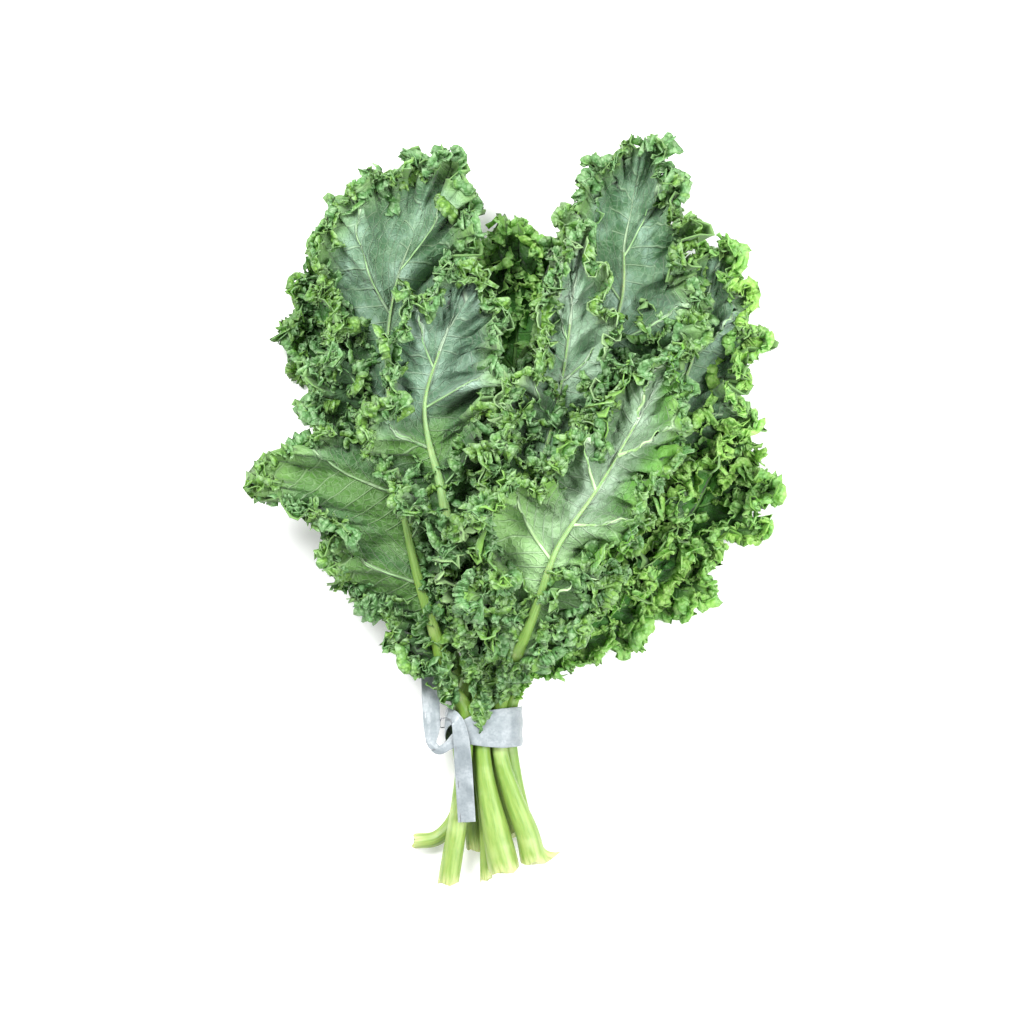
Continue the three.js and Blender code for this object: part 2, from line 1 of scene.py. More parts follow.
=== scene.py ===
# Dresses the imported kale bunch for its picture: ten curly leaves and a wide white twist tie.
# Lengths are in millimetres until a mesh is written, which is in metres.
import math
import bpy
import mathutils
import numpy as np
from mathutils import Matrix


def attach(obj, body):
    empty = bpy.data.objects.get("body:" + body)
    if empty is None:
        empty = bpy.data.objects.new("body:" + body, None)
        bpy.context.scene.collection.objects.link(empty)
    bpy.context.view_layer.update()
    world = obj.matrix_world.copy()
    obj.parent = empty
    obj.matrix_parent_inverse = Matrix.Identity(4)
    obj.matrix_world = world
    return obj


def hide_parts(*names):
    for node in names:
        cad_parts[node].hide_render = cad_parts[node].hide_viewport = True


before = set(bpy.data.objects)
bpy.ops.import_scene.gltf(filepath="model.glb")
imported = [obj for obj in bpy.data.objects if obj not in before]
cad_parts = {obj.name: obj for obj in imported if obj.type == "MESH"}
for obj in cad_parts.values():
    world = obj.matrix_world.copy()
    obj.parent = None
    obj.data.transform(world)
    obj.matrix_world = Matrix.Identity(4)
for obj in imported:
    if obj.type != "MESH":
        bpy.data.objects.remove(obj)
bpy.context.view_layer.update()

MM = 0.001
TURN = 2 * math.pi
WORLD_UP = np.array([0, 0, 1.0])

# The same driving dimensions as the solids have
BLADE_THICKNESS = 0.8
RUFFLE_LENGTH = 23
RUFFLE_HEIGHT = 7.5
RUFFLE_SWAY = 2.3
RUFFLE_POWER = 2.2
RUFFLE_WIDTHS = (6, 24)
RUFFLE_SWELL = 0.2
SWELL_RATE = 0.17
RUFFLE_STEPS = 4
LOBE_LENGTH = 42
LOBE_DEPTH = 0.34
NOTCH_POWER = 3
LOBE_LIFT = 5
VEIN_LEAN = 0.35
LEAN_POWER = 6
TIP_STARTS = 0.7
MIDRIB_END = 0.93
MIDRIB_TIP_RADIUS = 0.7
MIDRIB_PROUD = 0.45
MIDRIB_RISES = (-0.03, 0.05)
MIDRIB_TAPER = 0.8
FLARE_END = 0.85
STALK_FLATNESS = 0.86
LEAF_GAP = 1.2
TIE_Y = -110
TIE_REACH = 10
SETTLED_ABOVE = (-98, -66)
ROWS = (0.42, 0.74, 1)
STALK_SIDES = 8
STALK_RINGS = 15
SHARE_STEP = 0.002
CELL = 4
MAP_HALF = (160, 220)
SPREAD_CELLS = 4
SAMPLE_SPACING = 1.5
CENTRING = (1.5454, -0.6949)  # from the leaves' own places to the object's middle

# Creases, bulges and the margin of the finer blades
FOLD = 15.0
FOLD_POWER = 0.8
FOLD_WIDTHS = (8, 30)
BULGE = 2.3
BULGE_LENGTHS = ((4.1, 9.3), (3.7, 8.1))
VEIN_CURVE = 0.4
VEIN_CURVE_POWER = 1.3
EDGE_TURNS_FROM = 0.72
EDGE_TURN = (-0.9, 1.6)
EDGE_TURN_RATE = 0.45
MARGIN_BAND = 14
MARGIN_POWER = 1.3
FINGER = 4.0
FINGERS_IN_RUFFLE = 1.9
TOOTH = 2.4
TEETH_IN_RUFFLE = 3.2
SHEET_LOWEST = 0.45

# Curls on the ruffles, and crimps on the curls
CURLS_IN_RUFFLE = 3
CURL_HEIGHT = 3.6
CURL_SWAY = 1.5
CURL_BAND = 34
CRIMPS_IN_RUFFLE = 6
CRIMP_HEIGHT = 1.4
CRIMP_SWAY = 0.55
CRIMP_BAND = 8

# Free-standing frills
FRILL_THICKNESS = 0.28
FRILL_SPACING = 7.6
FRILL_LENGTH = (9, 22)
FRILL_HEIGHT = (3.5, 8)
FRILL_LEAN = (0.35, 1.1)
FRILL_BEND = 0.12
FRILL_WANDER = 0.6
FRILL_UPWARD = 0.35
FRILL_SWING = 0.5
FRILL_ENDS = 0.2
FRILL_TEETH = 0.3
FRILL_TOOTH_LENGTH = 6.3
FRILL_ROWS = 3
FRILL_STEP = 0.58
FRILL_SUNK = 0.8
PATH_POINTS = 33
FEWEST_POINTS = 12
FEWEST_STEPS = 8
LEAST_ROOM = 3
ROOM_KEPT = 2
LEAST_SEEN = 0.5
FRINGE_LENGTH = 20
FRINGE_STEP = 15
FRINGE_SHIFT = 4
FRINGE_PLACE = 0.97
FRINGE_LEAN = (-1.5, -0.5)
RAGGED = 0.1
STALK_HOLD = 10
BASE_WIDTH = 12
STALK_FRILL_SPACING = 4.2
STALK_FRILL_HEIGHT = (4, 8)
STALK_FRILL_LENGTH = (9, 16)
STALK_FRILL_BESIDE = (0.12, 0.75)
STALK_FRILL_WANDER = 0.18
STALK_FRILL_LEAN = (0.2, 1.3)
LONG_WAVE = 4.0
LONG_WAVE_HEIGHT = 1.5
SHORT_WAVE = 2.0
SHORT_WAVE_HEIGHT = 0.55
EXPOSED_CELLS = 3

# Meshes
COLUMN_SPACING = 4.4
ROW_COUNT = 7
FINER_ABOVE = (0.3, 0.68)
SHEET_SHARE = 0.75
SIDE_VEIN = (0.75, 0.15)
VEIN_SIDES = 6
VEIN_RINGS = 22
VEIN_ENDS = 0.8
FINE_STALK_SIDES = 18
FINE_STALK_RINGS = 110
RING_CROWDING = 1.25
SMOOTH_ANGLE = 50
STALK_RIBS = (0.035, 0.02)
MIDRIB_SLIM = 0.62
CUT_UNEVEN = 1.6
CUT_UNEVEN_OVER = 8
TIE_SIDES = 28
TIE_RINGS_A_STATION = 10
TIE_POWERS = (0.6, 0.3)
TIE_EDGE = 0.36
WIRE_BULGE = 0.32
WIRE_RADIUS = 0.8
TIE_CRUMPLE = (0.3, 0.15)
CRUMPLE_FROM_WIRE = 4
WELD = 1e-6
LOWEST = dict(blade=0.35, veins=0.4, frills=0.4, tie=0.3)
BLADE_KEPT_BELOW = 0.6
NOTHING_ABOVE = 400.0

# Where free-standing frills grow on a blade: side, from and to in shares of its length, from and to in
# shares of the way from midrib to margin
FRILLS = {
    "leaf_back_middle": [(1, 0.5, 1, 0.2, 1), (-1, 0.5, 1, 0.2, 1)],
    "leaf_back_left": [(1, 0.2, 0.7, 0.35, 1), (1, 0.7, 1, 0.25, 1), (-1, 0.6, 1, 0.4, 1)],
    "leaf_back_right": [(1, 0.3, 1, 0.15, 1), (-1, 0.2, 1, 0.15, 1)],
    "leaf_low_right": [(1, -0.15, 1, 0.45, 1), (-1, -0.15, 1, 0.45, 1)],
    "leaf_right": [(1, -0.15, 0.72, 0.1, 1), (-1, -0.15, 0.7, 0.1, 1), (1, 0.72, 1, 0.8, 1),
                   (-1, 0.7, 1, 0.75, 1)],
    "leaf_top_right": [(1, 0.3, 0.68, 0.1, 1), (-1, 0.3, 0.68, 0.1, 1), (1, 0.68, 1, 0.8, 1),
                       (-1, 0.68, 1, 0.84, 1)],
    "leaf_left": [(1, -0.07, 0.14, 0, 1), (-1, -0.13, 0.17, 0, 1), (1, 0.14, 0.5, 0.85, 1),
                  (1, 0.5, 0.76, 0.2, 1), (1, 0.76, 1, 0.8, 1), (-1, 0.17, 0.56, 0.22, 1),
                  (-1, 0.56, 1, 0.86, 1)],
    "leaf_centre_left": [(1, -0.6, 0.36, 0, 1), (-1, -0.6, 0.36, 0, 1), (1, 0.36, 1, 0.84, 1),
                         (-1, 0.36, 1, 0.87, 1)],
    "leaf_centre": [(1, -0.14, 0.7, 0, 1), (-1, -0.14, 0.7, 0, 1), (1, 0.7, 1, 0.84, 1),
                    (-1, 0.7, 1, 0.84, 1)],
    "leaf_front_right": [(1, -0.1, 0.14, 0.35, 1), (-1, -0.1, 0.14, 0.35, 1), (1, 0.14, 0.27, 0, 1),
                         (-1, 0.14, 0.36, 0, 1), (1, 0.27, 1, 0.82, 1), (-1, 0.36, 1, 0.8, 1)],
}

# The leaves from the lowest up. under: the pale underside is on top. hollows: side, share of the length,
# share of the way to the margin, reach of both and depth. sunny: frills painted brighter, as painted light
# for leaves that the lamps light less.
LEAVES = [
    dict(name="leaf_back_middle", under=False, blade_y=-74, radii=(4.4, 3.9, 3.6), phase=0.3,
         stalk=[(-7, -158, 5.5), (-9.5, -138, 6.8)], tied=(-11.8, 8.2),
         spine=[(-9, -78, 6), (-4, -40, 2), (0, 10, 2), (2, 66, 2), (4, 94, 2.5), (4, 108, 4)],
         left=(8, 40, 48, 52, 42), right=(8, 40, 48, 50, 42), curl=((12, 20), (12, 20)), sunny=True),
    dict(name="leaf_back_left", under=False, blade_y=-72, radii=(3.9, 3.9, 3.5), phase=1.1,
         stalk=[(-48, -168, 4.4), (-37, -166.5, 4.2), (-28, -157, 3.9), (-23.5, -140, 4.4)],
         tied=(-20.2, 8.2),
         spine=[(-28, -76, 6), (-48, -30, 2), (-67, 15, 2), (-80, 60, 2), (-88, 92, 2.5), (-88, 106, 4)],
         left=(8, 30, 32, 28, 34), right=(8, 34, 40, 38, 32), curl=((20, 10), (10, 20))),
    dict(name="leaf_back_right", under=False, blade_y=-76, radii=(4.2, 3.9, 3.5), phase=2.0,
         stalk=[(1, -154, 4.6), (-1, -138, 6)], tied=(-3.4, 8.2),
         spine=[(8, -80, 6), (34, -54, 2), (64, -34, 2), (89, -8, 2), (104, 20, 2.5), (109, 38, 4)],
         left=(8, 34, 42, 40, 30), right=(8, 24, 34, 34, 20), curl=((10, 20), (30, 20)), sunny=True),
    dict(name="leaf_low_right", under=False, blade_y=-84, radii=(4.2, 3.9, 3.2), phase=0.7,
         stalk=[(9.5, -166, 9.5), (4.5, -144, 12)], tied=(0.5, 15.9),
         spine=[(9, -82, 18), (26, -64, 20), (46, -50, 22), (64, -38, 22), (74, -32, 22)],
         left=(8, 30, 34, 32, 24), right=(8, 20, 26, 14, 14), curl=((20, 20), (-10, -20)), sunny=True),
    dict(name="leaf_right", under=True, blade_y=-78, radii=(4.4, 3.9, 3.6), phase=1.7,
         stalk=[(1, -165, 12.5), (-4, -144, 14)], tied=(-7.8, 15.9),
         spine=[(0, -80, 18), (26, -42, 24), (55, 0, 30), (80, 46, 34), (95, 84, 34), (101, 106, 32)],
         left=(8, 40, 46, 42, 36), right=(8, 34, 40, 40, 32), curl=((20, 25), (25, 20)), sunny=True),
    dict(name="leaf_top_right", under=True, blade_y=-60, radii=(3.2, 3.9, 3.6), phase=2.6,
         stalk=[(-11.5, -187, 13), (-11.8, -160, 14.8), (-13.6, -140, 15.6)], tied=(-16.4, 15.9),
         spine=[(-9, -80, 18), (12, -32, 28), (33, 28, 38), (48, 76, 44), (57, 110, 46), (58, 134, 44),
                (62, 154, 42)],
         left=(8, 36, 46, 50, 40), right=(8, 36, 44, 50, 40), curl=((40, 35), (30, 20)),
         hollows=((1, 0.8, 0.5, (0.03, 0.3), 10), (-1, 0.76, 0.5, (0.03, 0.3), 11),
                  (-1, 0.9, 0.5, (0.02, 0.3), 7))),
    dict(name="leaf_left", under=True, blade_y=-84, radii=(5.4, 3.9, 3.8), phase=1.4,
         stalk=[(-30.5, -188, 13), (-27, -165, 16.4), (-23.5, -138, 21)], tied=(-22, 23.5),
         spine=[(-30, -88, 27), (-37, -62, 34), (-47, -28, 39), (-54, 6, 43), (-59, 42, 46),
                (-61, 82, 46), (-56, 116, 44), (-48, 138, 42)],
         left=(14, 30, 48, 80, 56, 40, 54, 58, 46), right=(6, 18, 28, 28, 28, 34, 46, 52, 46),
         curl=((-12, 20), (50, 10)),
         hollows=((-1, 0.84, 0.5, (0.03, 0.3), 11), (1, 0.8, 0.5, (0.025, 0.3), 9),
                  (1, 0.3, 0.5, (0.022, 0.35), 8), (1, 0.44, 0.55, (0.02, 0.3), 7),
                  (-1, 0.92, 0.5, (0.02, 0.3), 7))),
    dict(name="leaf_centre_left", under=True, blade_y=-20, radii=(4.2, 3.9, 3.6), phase=2.2,
         stalk=[(-17.5, -171, 7.2), (-18.8, -152, 10), (-22.2, -134, 13.4)], tied=(-24.7, 15.9),
         spine=[(-20, -82, 17.5), (-24, -46, 38), (-33, 8, 56), (-42, 50, 64), (-35, 78, 68), (-27, 98, 69)],
         left=(8, 30, 34, 36, 30), right=(10, 38, 46, 42, 30), curl=((30, 30), (30, 40)),
         hollows=((-1, 0.55, 0.45, (0.028, 0.3), 13), (-1, 0.7, 0.5, (0.035, 0.3), 14),
                  (-1, 0.63, 0.5, (0.03, 0.3), -4), (1, 0.62, 0.55, (0.03, 0.25), 9),
                  (1, 0.8, 0.5, (0.03, 0.3), 8))),
    dict(name="leaf_centre", under=True, blade_y=-84, radii=(7.8, 3.9, 3.6), phase=0.2,
         stalk=[(-2.3, -181, 21.5), (-6, -165, 23.2), (-10.5, -143, 24)], tied=(-13.4, 23.5),
         spine=[(-13, -84, 28), (-6, -40, 40), (10, 5, 50), (22, 44, 55), (29, 82, 56), (32, 114, 56)],
         left=(12, 38, 40, 26, 24), right=(12, 42, 48, 36, 26), curl=((80, 35), (80, 30)),
         hollows=((-1, 0.8, 0.5, (0.03, 0.3), 13), (1, 0.86, 0.5, (0.03, 0.3), 9))),
    dict(name="leaf_front_right", under=True, blade_y=-82, radii=(6.4, 3.9, 3.4), phase=0.9,
         stalk=[(12.5, -178, 19), (9.7, -165, 21), (2.6, -146, 22.8)], tied=(-4.8, 23.5),
         spine=[(-1.5, -85, 28.5), (6, -67, 37), (14, -46, 47), (24, -18, 58), (45, 13, 66), (62, 42, 69),
                (72, 60, 68)],
         left=(12, 46, 50, 38, 30, 22), right=(12, 34, 36, 34, 30, 22), curl=((45, 60), (20, -40)),
         ruffle=14, vein=1.4, spur=(0.02, 9),
         hollows=((1, 0.42, 0.5, (0.035, 0.3), 12), (1, 0.33, 0.55, (0.03, 0.3), 8),
                  (-1, 0.45, 0.5, (0.03, 0.3), 12), (-1, 0.62, 0.5, (0.03, 0.3), 10),
                  (1, 0.6, 0.5, (0.03, 0.3), 8))),
]

# The tie's stations: place, the way its width runs, width and thickness at the edges
TIE = [
    ((-21.3, -157, 25), (1, 0, 0), 9, 1.2),
    ((-22.2, -142, 27.4), (1, 0, 0), 9, 1.2),
    ((-23.2, -126, 30.4), (1, 0, 0), 9, 1.2),
    ((-24.4, -113, 32.6), (1, 0.1, 0), 8, 1.2),
    ((-26.6, -105, 33), (0.75, 0.65, 0), 6, 1.5),
    ((-31, -104.5, 28.5), (0.2, 1, 0), 11, 1.1),
    ((-31.8, -108.5, 20), (0, 1, 0), 17, 0.8),
    ((-31.2, -110, 10), (0, 1, 0), 19, 0.8),
    ((-26, -110, 3.4), (0, 1, 0), 19, 0.8),
    ((-15, -110, 2.4), (0, 1, 0), 19, 0.8),
    ((-2, -110, 2.6), (0, 1, 0), 19, 0.8),
    ((4.6, -109.5, 7), (0, 1, 0), 19.5, 0.8),
    ((6.4, -109, 15), (0, 1, 0), 20, 0.8),
    ((4.2, -109, 24), (0, 1, 0), 20, 0.8),
    ((-3, -109.5, 28.8), (0, 1, 0), 20, 0.8),
    ((-13, -110, 28.9), (-0.05, 1, 0), 18, 0.8),
    ((-20, -111.5, 29), (-0.25, 1, 0), 14, 0.9),
    ((-26, -114.5, 29.4), (-0.5, 0.85, 0), 7, 1.4),
    ((-31, -118.5, 30), (-0.6, 0.8, 0), 4.5, 1.6),
    ((-35.5, -120.5, 29.6), (0.1, 1, 0), 4.5, 1.6),
    ((-38.8, -117.5, 28.4), (1, 0.3, 0), 4.5, 1.6),
    ((-39, -109, 26.4), (1, 0, 0), 8.5, 1.2),
    ((-39.6, -94, 21.5), (1, 0, 0), 9, 1.2),
    ((-40.3, -79, 16), (1, 0, 0), 9, 1.2),
]


# Sums that several pieces need

def smooth(x, low, high):
    x = np.clip((x - low) / (high - low), 0, 1)
    return x * x * (3 - 2 * x)


def mix(a, b, share):
    return a + (b - a) * share


def unit(vectors):
    return vectors / np.maximum(np.linalg.norm(vectors, axis=-1, keepdims=True), 1e-9)


def between(values, share):
    values = np.asarray(values, float)
    place = np.clip(share, 0, 1) * (len(values) - 1)
    i = np.minimum(place.astype(int), len(values) - 2)
    return mix(values[i], values[i + 1], smooth(place - i, 0, 1))


def lengths_along(points):
    """How far each point is from the first along the way through them all."""
    steps = np.linalg.norm(np.diff(points, axis=0), axis=1)
    return np.concatenate([[0], np.cumsum(steps)])


def sampled(at, places, table):
    """A table's rows read at the places between its own."""
    return np.stack([np.interp(at, places, column) for column in table.T], -1)


def curve_points(points, places):
    """A centripetal Catmull-Rom curve through the points, at places from 0 to 1."""
    knots = np.vstack([2 * points[0] - points[1], points, 2 * points[-1] - points[-2]])
    place = np.clip(places, 0, 1) * (len(points) - 1)
    i = np.minimum(place.astype(int), len(points) - 2)
    p0, p1, p2, p3 = (knots[i + k] for k in range(4))
    pairs = ((p0, p1), (p1, p2), (p2, p3))
    d0, d1, d2 = (np.linalg.norm(b - a, axis=1, keepdims=True) ** 0.5 for a, b in pairs)
    m1 = ((p1 - p0) / d0 - (p2 - p0) / (d0 + d1) + (p2 - p1) / d1) * d1
    m2 = ((p2 - p1) / d1 - (p3 - p1) / (d1 + d2) + (p3 - p2) / d2) * d1
    w = (place - i)[:, None]
    return p1 + m1 * w + (3 * (p2 - p1) - 2 * m1 - m2) * w ** 2 + (2 * (p1 - p2) + m1 + m2) * w ** 3


# The leaf's spine, tabled at even shares of its length

def share_at(leaf, y):
    share = leaf["shares"][np.argmax(leaf["line"][:, 1] >= y)]
    return SHARE_STEP * math.ceil(share / SHARE_STEP)


def lay_spine(leaf):
    x, z = leaf["tied"]
    held = [(x, y, z) for y in (TIE_Y - TIE_REACH, TIE_Y + TIE_REACH)]
    points = np.array(leaf["stalk"] + held + leaf["spine"], float)
    places = np.linspace(0, 1, 201)
    lengths = lengths_along(curve_points(points, places))
    shares = np.linspace(0, 1, 1601)
    at = np.interp(shares * lengths[-1], lengths, places)
    ahead = curve_points(points, np.minimum(at + 1e-4, 1))
    behind = curve_points(points, np.maximum(at - 1e-4, 0))
    leaf["shares"] = shares
    leaf["line"] = curve_points(points, at)
    leaf["heading"] = unit(ahead - behind)
    leaf["length"] = lengths[-1]
    leaf["tie_share"] = share_at(leaf, TIE_Y)
    leaf["blade"] = share_at(leaf, leaf["blade_y"])
    leaf["lobes"] = math.floor(leaf["length"] * (1 - leaf["blade"]) / LOBE_LENGTH + 0.5)


def frame_at(leaf, share):
    at = sampled(share, leaf["shares"], leaf["line"])
    along = unit(sampled(share, leaf["shares"], leaf["heading"]))
    up = unit(WORLD_UP - along * along[..., 2:])
    return at, along, up, np.cross(up, along)


# The blade: q runs from -1 at the left base over 0 at the tip to 1 at the right base, and s from the
# midrib at 0 to the margin at 1

def side_of(q):
    return np.where(q < 0, 1, -1)


def half_width(leaf, side, t):
    plain = np.where(side > 0, between(leaf["left"], t), between(leaf["right"], t))
    lobe = np.cos(TURN * (leaf["lobes"] * t + leaf["phase"] + np.where(side > 0, 0, 0.5)))
    notch = (0.5 + 0.5 * lobe) ** NOTCH_POWER * (1 - smooth(t, TIP_STARTS, 1))
    return plain * (1 - LOBE_DEPTH * notch)


def width_at(leaf, q):
    return half_width(leaf, side_of(q), 1 - abs(q))


def vein_lean(t):
    return mix(VEIN_LEAN, math.pi / 2, np.maximum(t, 0) ** LEAN_POWER)


def margin_curl(leaf, side, t):
    left, right = (np.radians(mix(start, tip, t)) for start, tip in leaf["curl"])
    own = np.where(side > 0, left, right)
    curl = mix(own, (left + right) / 2, smooth(t, TIP_STARTS, 1))
    return np.where(abs(curl) < 1e-6, 1e-6, curl)


def measure_margin(leaf):
    q = np.linspace(-1, 1, 401)
    side = side_of(q)
    t = 1 - abs(q)
    at, along, _, left = frame_at(leaf, mix(leaf["blade"], 1, t))
    width = half_width(leaf, side, t)
    lean = vein_lean(t)
    at = at + left * (side * width * np.cos(lean))[:, None] + along * (width * np.sin(lean))[:, None]
    lengths = lengths_along(at)
    leaf["margin"] = lengths[-1]
    leaf["waves"] = math.floor(lengths[-1] / RUFFLE_LENGTH + 0.5)
    leaf["margin_q"] = q
    leaf["margin_wave"] = lengths / lengths[-1] * leaf["waves"]


def wave_at(leaf, q):
    return np.interp(q, leaf["margin_q"], leaf["margin_wave"])


def ruffled(leaf, q, s, turn=None):
    """The blade's form as the solids have it. turn rolls its outermost part on from there."""
    side = side_of(q)
    t = 1 - abs(q)
    wave = wave_at(leaf, q)
    at, along, up, left = frame_at(leaf, mix(leaf["blade"], 1, t))
    width = half_width(leaf, side, t)
    curl = margin_curl(leaf, side, t)
    lean = vein_lean(t)[:, None]
    out = left * side[:, None] * np.cos(lean) + along * np.sin(lean)
    sidelong = along * np.cos(lean) - left * side[:, None] * np.sin(lean)
    angle = curl * s
    across = width * np.sin(angle) / curl
    rise = width * (1 - np.cos(angle)) / curl
    if turn is not None:
        past = np.maximum(s - EDGE_TURNS_FROM, 0)
        before = curl * np.minimum(s, EDGE_TURNS_FROM)
        rate = curl + turn / (1 - EDGE_TURNS_FROM)
        rate = np.where(abs(rate) < 1e-3, 1e-3, rate)
        angle = before + rate * past
        across = width * (np.sin(before) / curl + (np.sin(angle) - np.sin(before)) / rate)
        rise = width * ((1 - np.cos(before)) / curl + (np.cos(before) - np.cos(angle)) / rate)
    angle = angle[:, None]
    normal = up * np.cos(angle) - out * np.sin(angle)

    swell = 1 + RUFFLE_SWELL * (np.sin(TURN * (wave * SWELL_RATE + leaf["phase"])) - 1)
    frill = smooth(width, *RUFFLE_WIDTHS) * np.maximum(s, 0) ** RUFFLE_POWER
    height = leaf.get("ruffle", RUFFLE_HEIGHT) if turn is None else RUFFLE_HEIGHT
    ruffle = height * swell * frill * np.sin(TURN * wave)
    sway = RUFFLE_SWAY * frill * np.sin(2 * TURN * wave)
    lobe_turn = TURN * ((leaf["lobes"] / 2) * t + leaf["phase"] + np.where(side > 0, 0, 0.25))
    lobe_lift = LOBE_LIFT * s * np.sin(lobe_turn) * (1 - smooth(t, TIP_STARTS, 1))
    point = at + out * across[:, None] + up * rise[:, None]
    return point + normal * (ruffle + lobe_lift)[:, None] + sidelong * sway[:, None]


def stalk_radius(leaf, share):
    cut, tied, start = leaf["radii"]
    below = mix(cut, tied, smooth(share, 0, FLARE_END * leaf["tie_share"]))
    middle = mix(tied, start, (share - leaf["tie_share"]) / (leaf["blade"] - leaf["tie_share"]))
    done = np.clip((share - leaf["blade"]) / (MIDRIB_END - leaf["blade"]), 0, 1)
    above = mix(start, MIDRIB_TIP_RADIUS, done ** MIDRIB_TAPER)
    return np.where(share < leaf["tie_share"], below, np.where(share < leaf["blade"], middle, above))


def stalk_point(leaf, share, round_it, radius):
    """Points of the stalk and midrib at a share of the spine and an angle round it, in turns."""
    at, _, up, left = frame_at(leaf, share)
    rise = leaf["blade"] + MIDRIB_RISES[0], leaf["blade"] + MIDRIB_RISES[1]
    proud = (1 if leaf["under"] else -1) * MIDRIB_PROUD * stalk_radius(leaf, share) * smooth(share, *rise)
    angle = TURN * round_it
    upward = proud + STALK_FLATNESS * radius * np.sin(angle)
    return at + left * (radius * np.cos(angle))[:, None] + up * upward[:, None]


# The heap: the leaves are laid one on another by the same rule as the solids, on the solids' coarse form

def coarse_sheet(leaf):
    steps = RUFFLE_STEPS
    count = leaf["waves"] * steps
    wanted = np.arange(count + 1) / steps
    q = np.interp(wanted, leaf["margin_wave"], leaf["margin_q"])
    q[0], q[-1] = -1, 1
    points, triangles, rib = [], [], {}
    rows = [{}, {}, {}]

    def add(j, s):
        points.append((q[j], s))
        return len(points) - 1

    for j in range(count + 1):
        if j % steps == 0:
            rib[j] = rib[count - j] if count - j in rib else add(j, 0)
            rows[0][j] = add(j, ROWS[0])
        rows[1][j] = add(j, ROWS[1])
        rows[2][j] = add(j, ROWS[2])
    for j in range(0, count, steps):
        k, middle = j + steps, j + steps // 2
        triangles += [(rib[j], rib[k], rows[0][k]), (rib[j], rows[0][k], rows[0][j])]
        triangles.append((rows[0][j], rows[0][k], rows[1][middle]))
        for i in range(j, k):
            triangles.append((rows[0][j] if i < middle else rows[0][k], rows[1][i + 1], rows[1][i]))
            triangles.append((rows[1][i], rows[1][i + 1], rows[2][i + 1]))
            triangles.append((rows[1][i], rows[2][i + 1], rows[2][i]))
    places = np.array(points)
    return ruffled(leaf, places[:, 0], places[:, 1]), np.array(triangles)


def coarse_rings(leaf):
    shares = np.repeat(np.arange(STALK_RINGS) * MIDRIB_END / (STALK_RINGS - 1), STALK_SIDES)
    turns = np.tile((np.arange(STALK_SIDES) + 0.5) / STALK_SIDES, STALK_RINGS)
    return stalk_point(leaf, shares, turns, stalk_radius(leaf, shares)).reshape(STALK_RINGS, STALK_SIDES, 3)


def samples_of(points, triangles, rings):
    """Points all over a leaf's coarse form: x, y, lowest z and highest z."""
    found = []
    for a, b, c in points[triangles]:
        longest = max(np.linalg.norm(a - b), np.linalg.norm(b - c), np.linalg.norm(c - a))
        steps = math.ceil(longest / SAMPLE_SPACING)
        i, j = np.meshgrid(np.arange(steps + 1), np.arange(steps + 1), indexing="ij")
        keep = i + j <= steps
        i, j = i[keep][:, None] / max(steps, 1), j[keep][:, None] / max(steps, 1)
        point = a * (1 - i - j) + b * i + c * j
        half = np.full((len(point), 1), BLADE_THICKNESS / 2)
        found.append(np.hstack([point[:, :2], point[:, 2:] - half, point[:, 2:] + half]))
    for low, high in zip(rings[:-1], rings[1:]):
        steps = math.ceil(np.linalg.norm(low[0] - high[0]) / SAMPLE_SPACING)
        share = np.linspace(0, 1, steps + 1)[:, None, None]
        point = (low + (high - low) * share).reshape(-1, 3)
        found.append(np.hstack([point, point[:, 2:]]))
    return np.vstack(found)


def cells(x, y):
    return tuple(np.floor((value + half) / CELL).astype(int) for value, half in zip((x, y), MAP_HALF))


def filtered(table, radius, combine):
    for axis in (0, 1):
        rows = []
        count = table.shape[axis]
        for i in range(count):
            near = np.take(table, range(max(0, i - radius), min(count, i + radius + 1)), axis)
            rows.append(combine(near, axis=axis))
        table = np.stack(rows, axis)
    return table


def lift_table(top, samples):
    x, y, low = samples[:, 0], samples[:, 1], samples[:, 2]
    i, j = cells(x, y)
    need = np.zeros_like(top)
    np.maximum.at(need, (i, j), np.maximum(top[i, j] + LEAF_GAP - low, 0))
    widened = filtered(need, SPREAD_CELLS, np.max)
    return filtered(filtered(widened, SPREAD_CELLS // 2, np.mean), SPREAD_CELLS // 2, np.mean)


def table_at(table, points):
    u = (points[..., 0] + MAP_HALF[0]) / CELL - 0.5
    v = (points[..., 1] + MAP_HALF[1]) / CELL - 0.5
    i = np.clip(np.floor(u).astype(int), 0, table.shape[0] - 2)
    j = np.clip(np.floor(v).astype(int), 0, table.shape[1] - 2)
    low = mix(table[i, j], table[i + 1, j], u - i)
    high = mix(table[i, j + 1], table[i + 1, j + 1], u - i)
    return mix(low, high, v - j)


def settled(leaf, points, lowest):
    lift = table_at(leaf["lift"], points) * smooth(points[:, 1], *SETTLED_ABOVE)
    points = points.copy()
    points[:, 2] = np.maximum(points[:, 2] + lift, lowest)
    return points


def lay_heap():
    top = np.full([2 * half // CELL for half in MAP_HALF], -np.inf)
    laid = []
    for leaf in LEAVES:
        lay_spine(leaf)
        measure_margin(leaf)
        points, triangles = coarse_sheet(leaf)
        rings = coarse_rings(leaf)
        leaf["lift"] = lift_table(top, samples_of(points, triangles, rings))
        points = settled(leaf, points, BLADE_THICKNESS / 2)
        rings = settled(leaf, rings.reshape(-1, 3), 0).reshape(rings.shape)
        samples = samples_of(points, triangles, rings)
        i, j = cells(samples[:, 0], samples[:, 1])
        np.maximum.at(top, (i, j), samples[:, 3])
        laid.append((i, j, samples[:, 2]))
    # For each leaf, what lies lowest above it, and where nothing does
    above = np.full(top.shape, NOTHING_ABOVE)
    for leaf, (i, j, low) in zip(reversed(LEAVES), reversed(laid)):
        leaf["above"] = above.copy()
        leaf["exposed"] = filtered(np.where(above == NOTHING_ABOVE, 1.0, 0.0), EXPOSED_CELLS, np.max)
        np.minimum.at(above, (i, j), low)


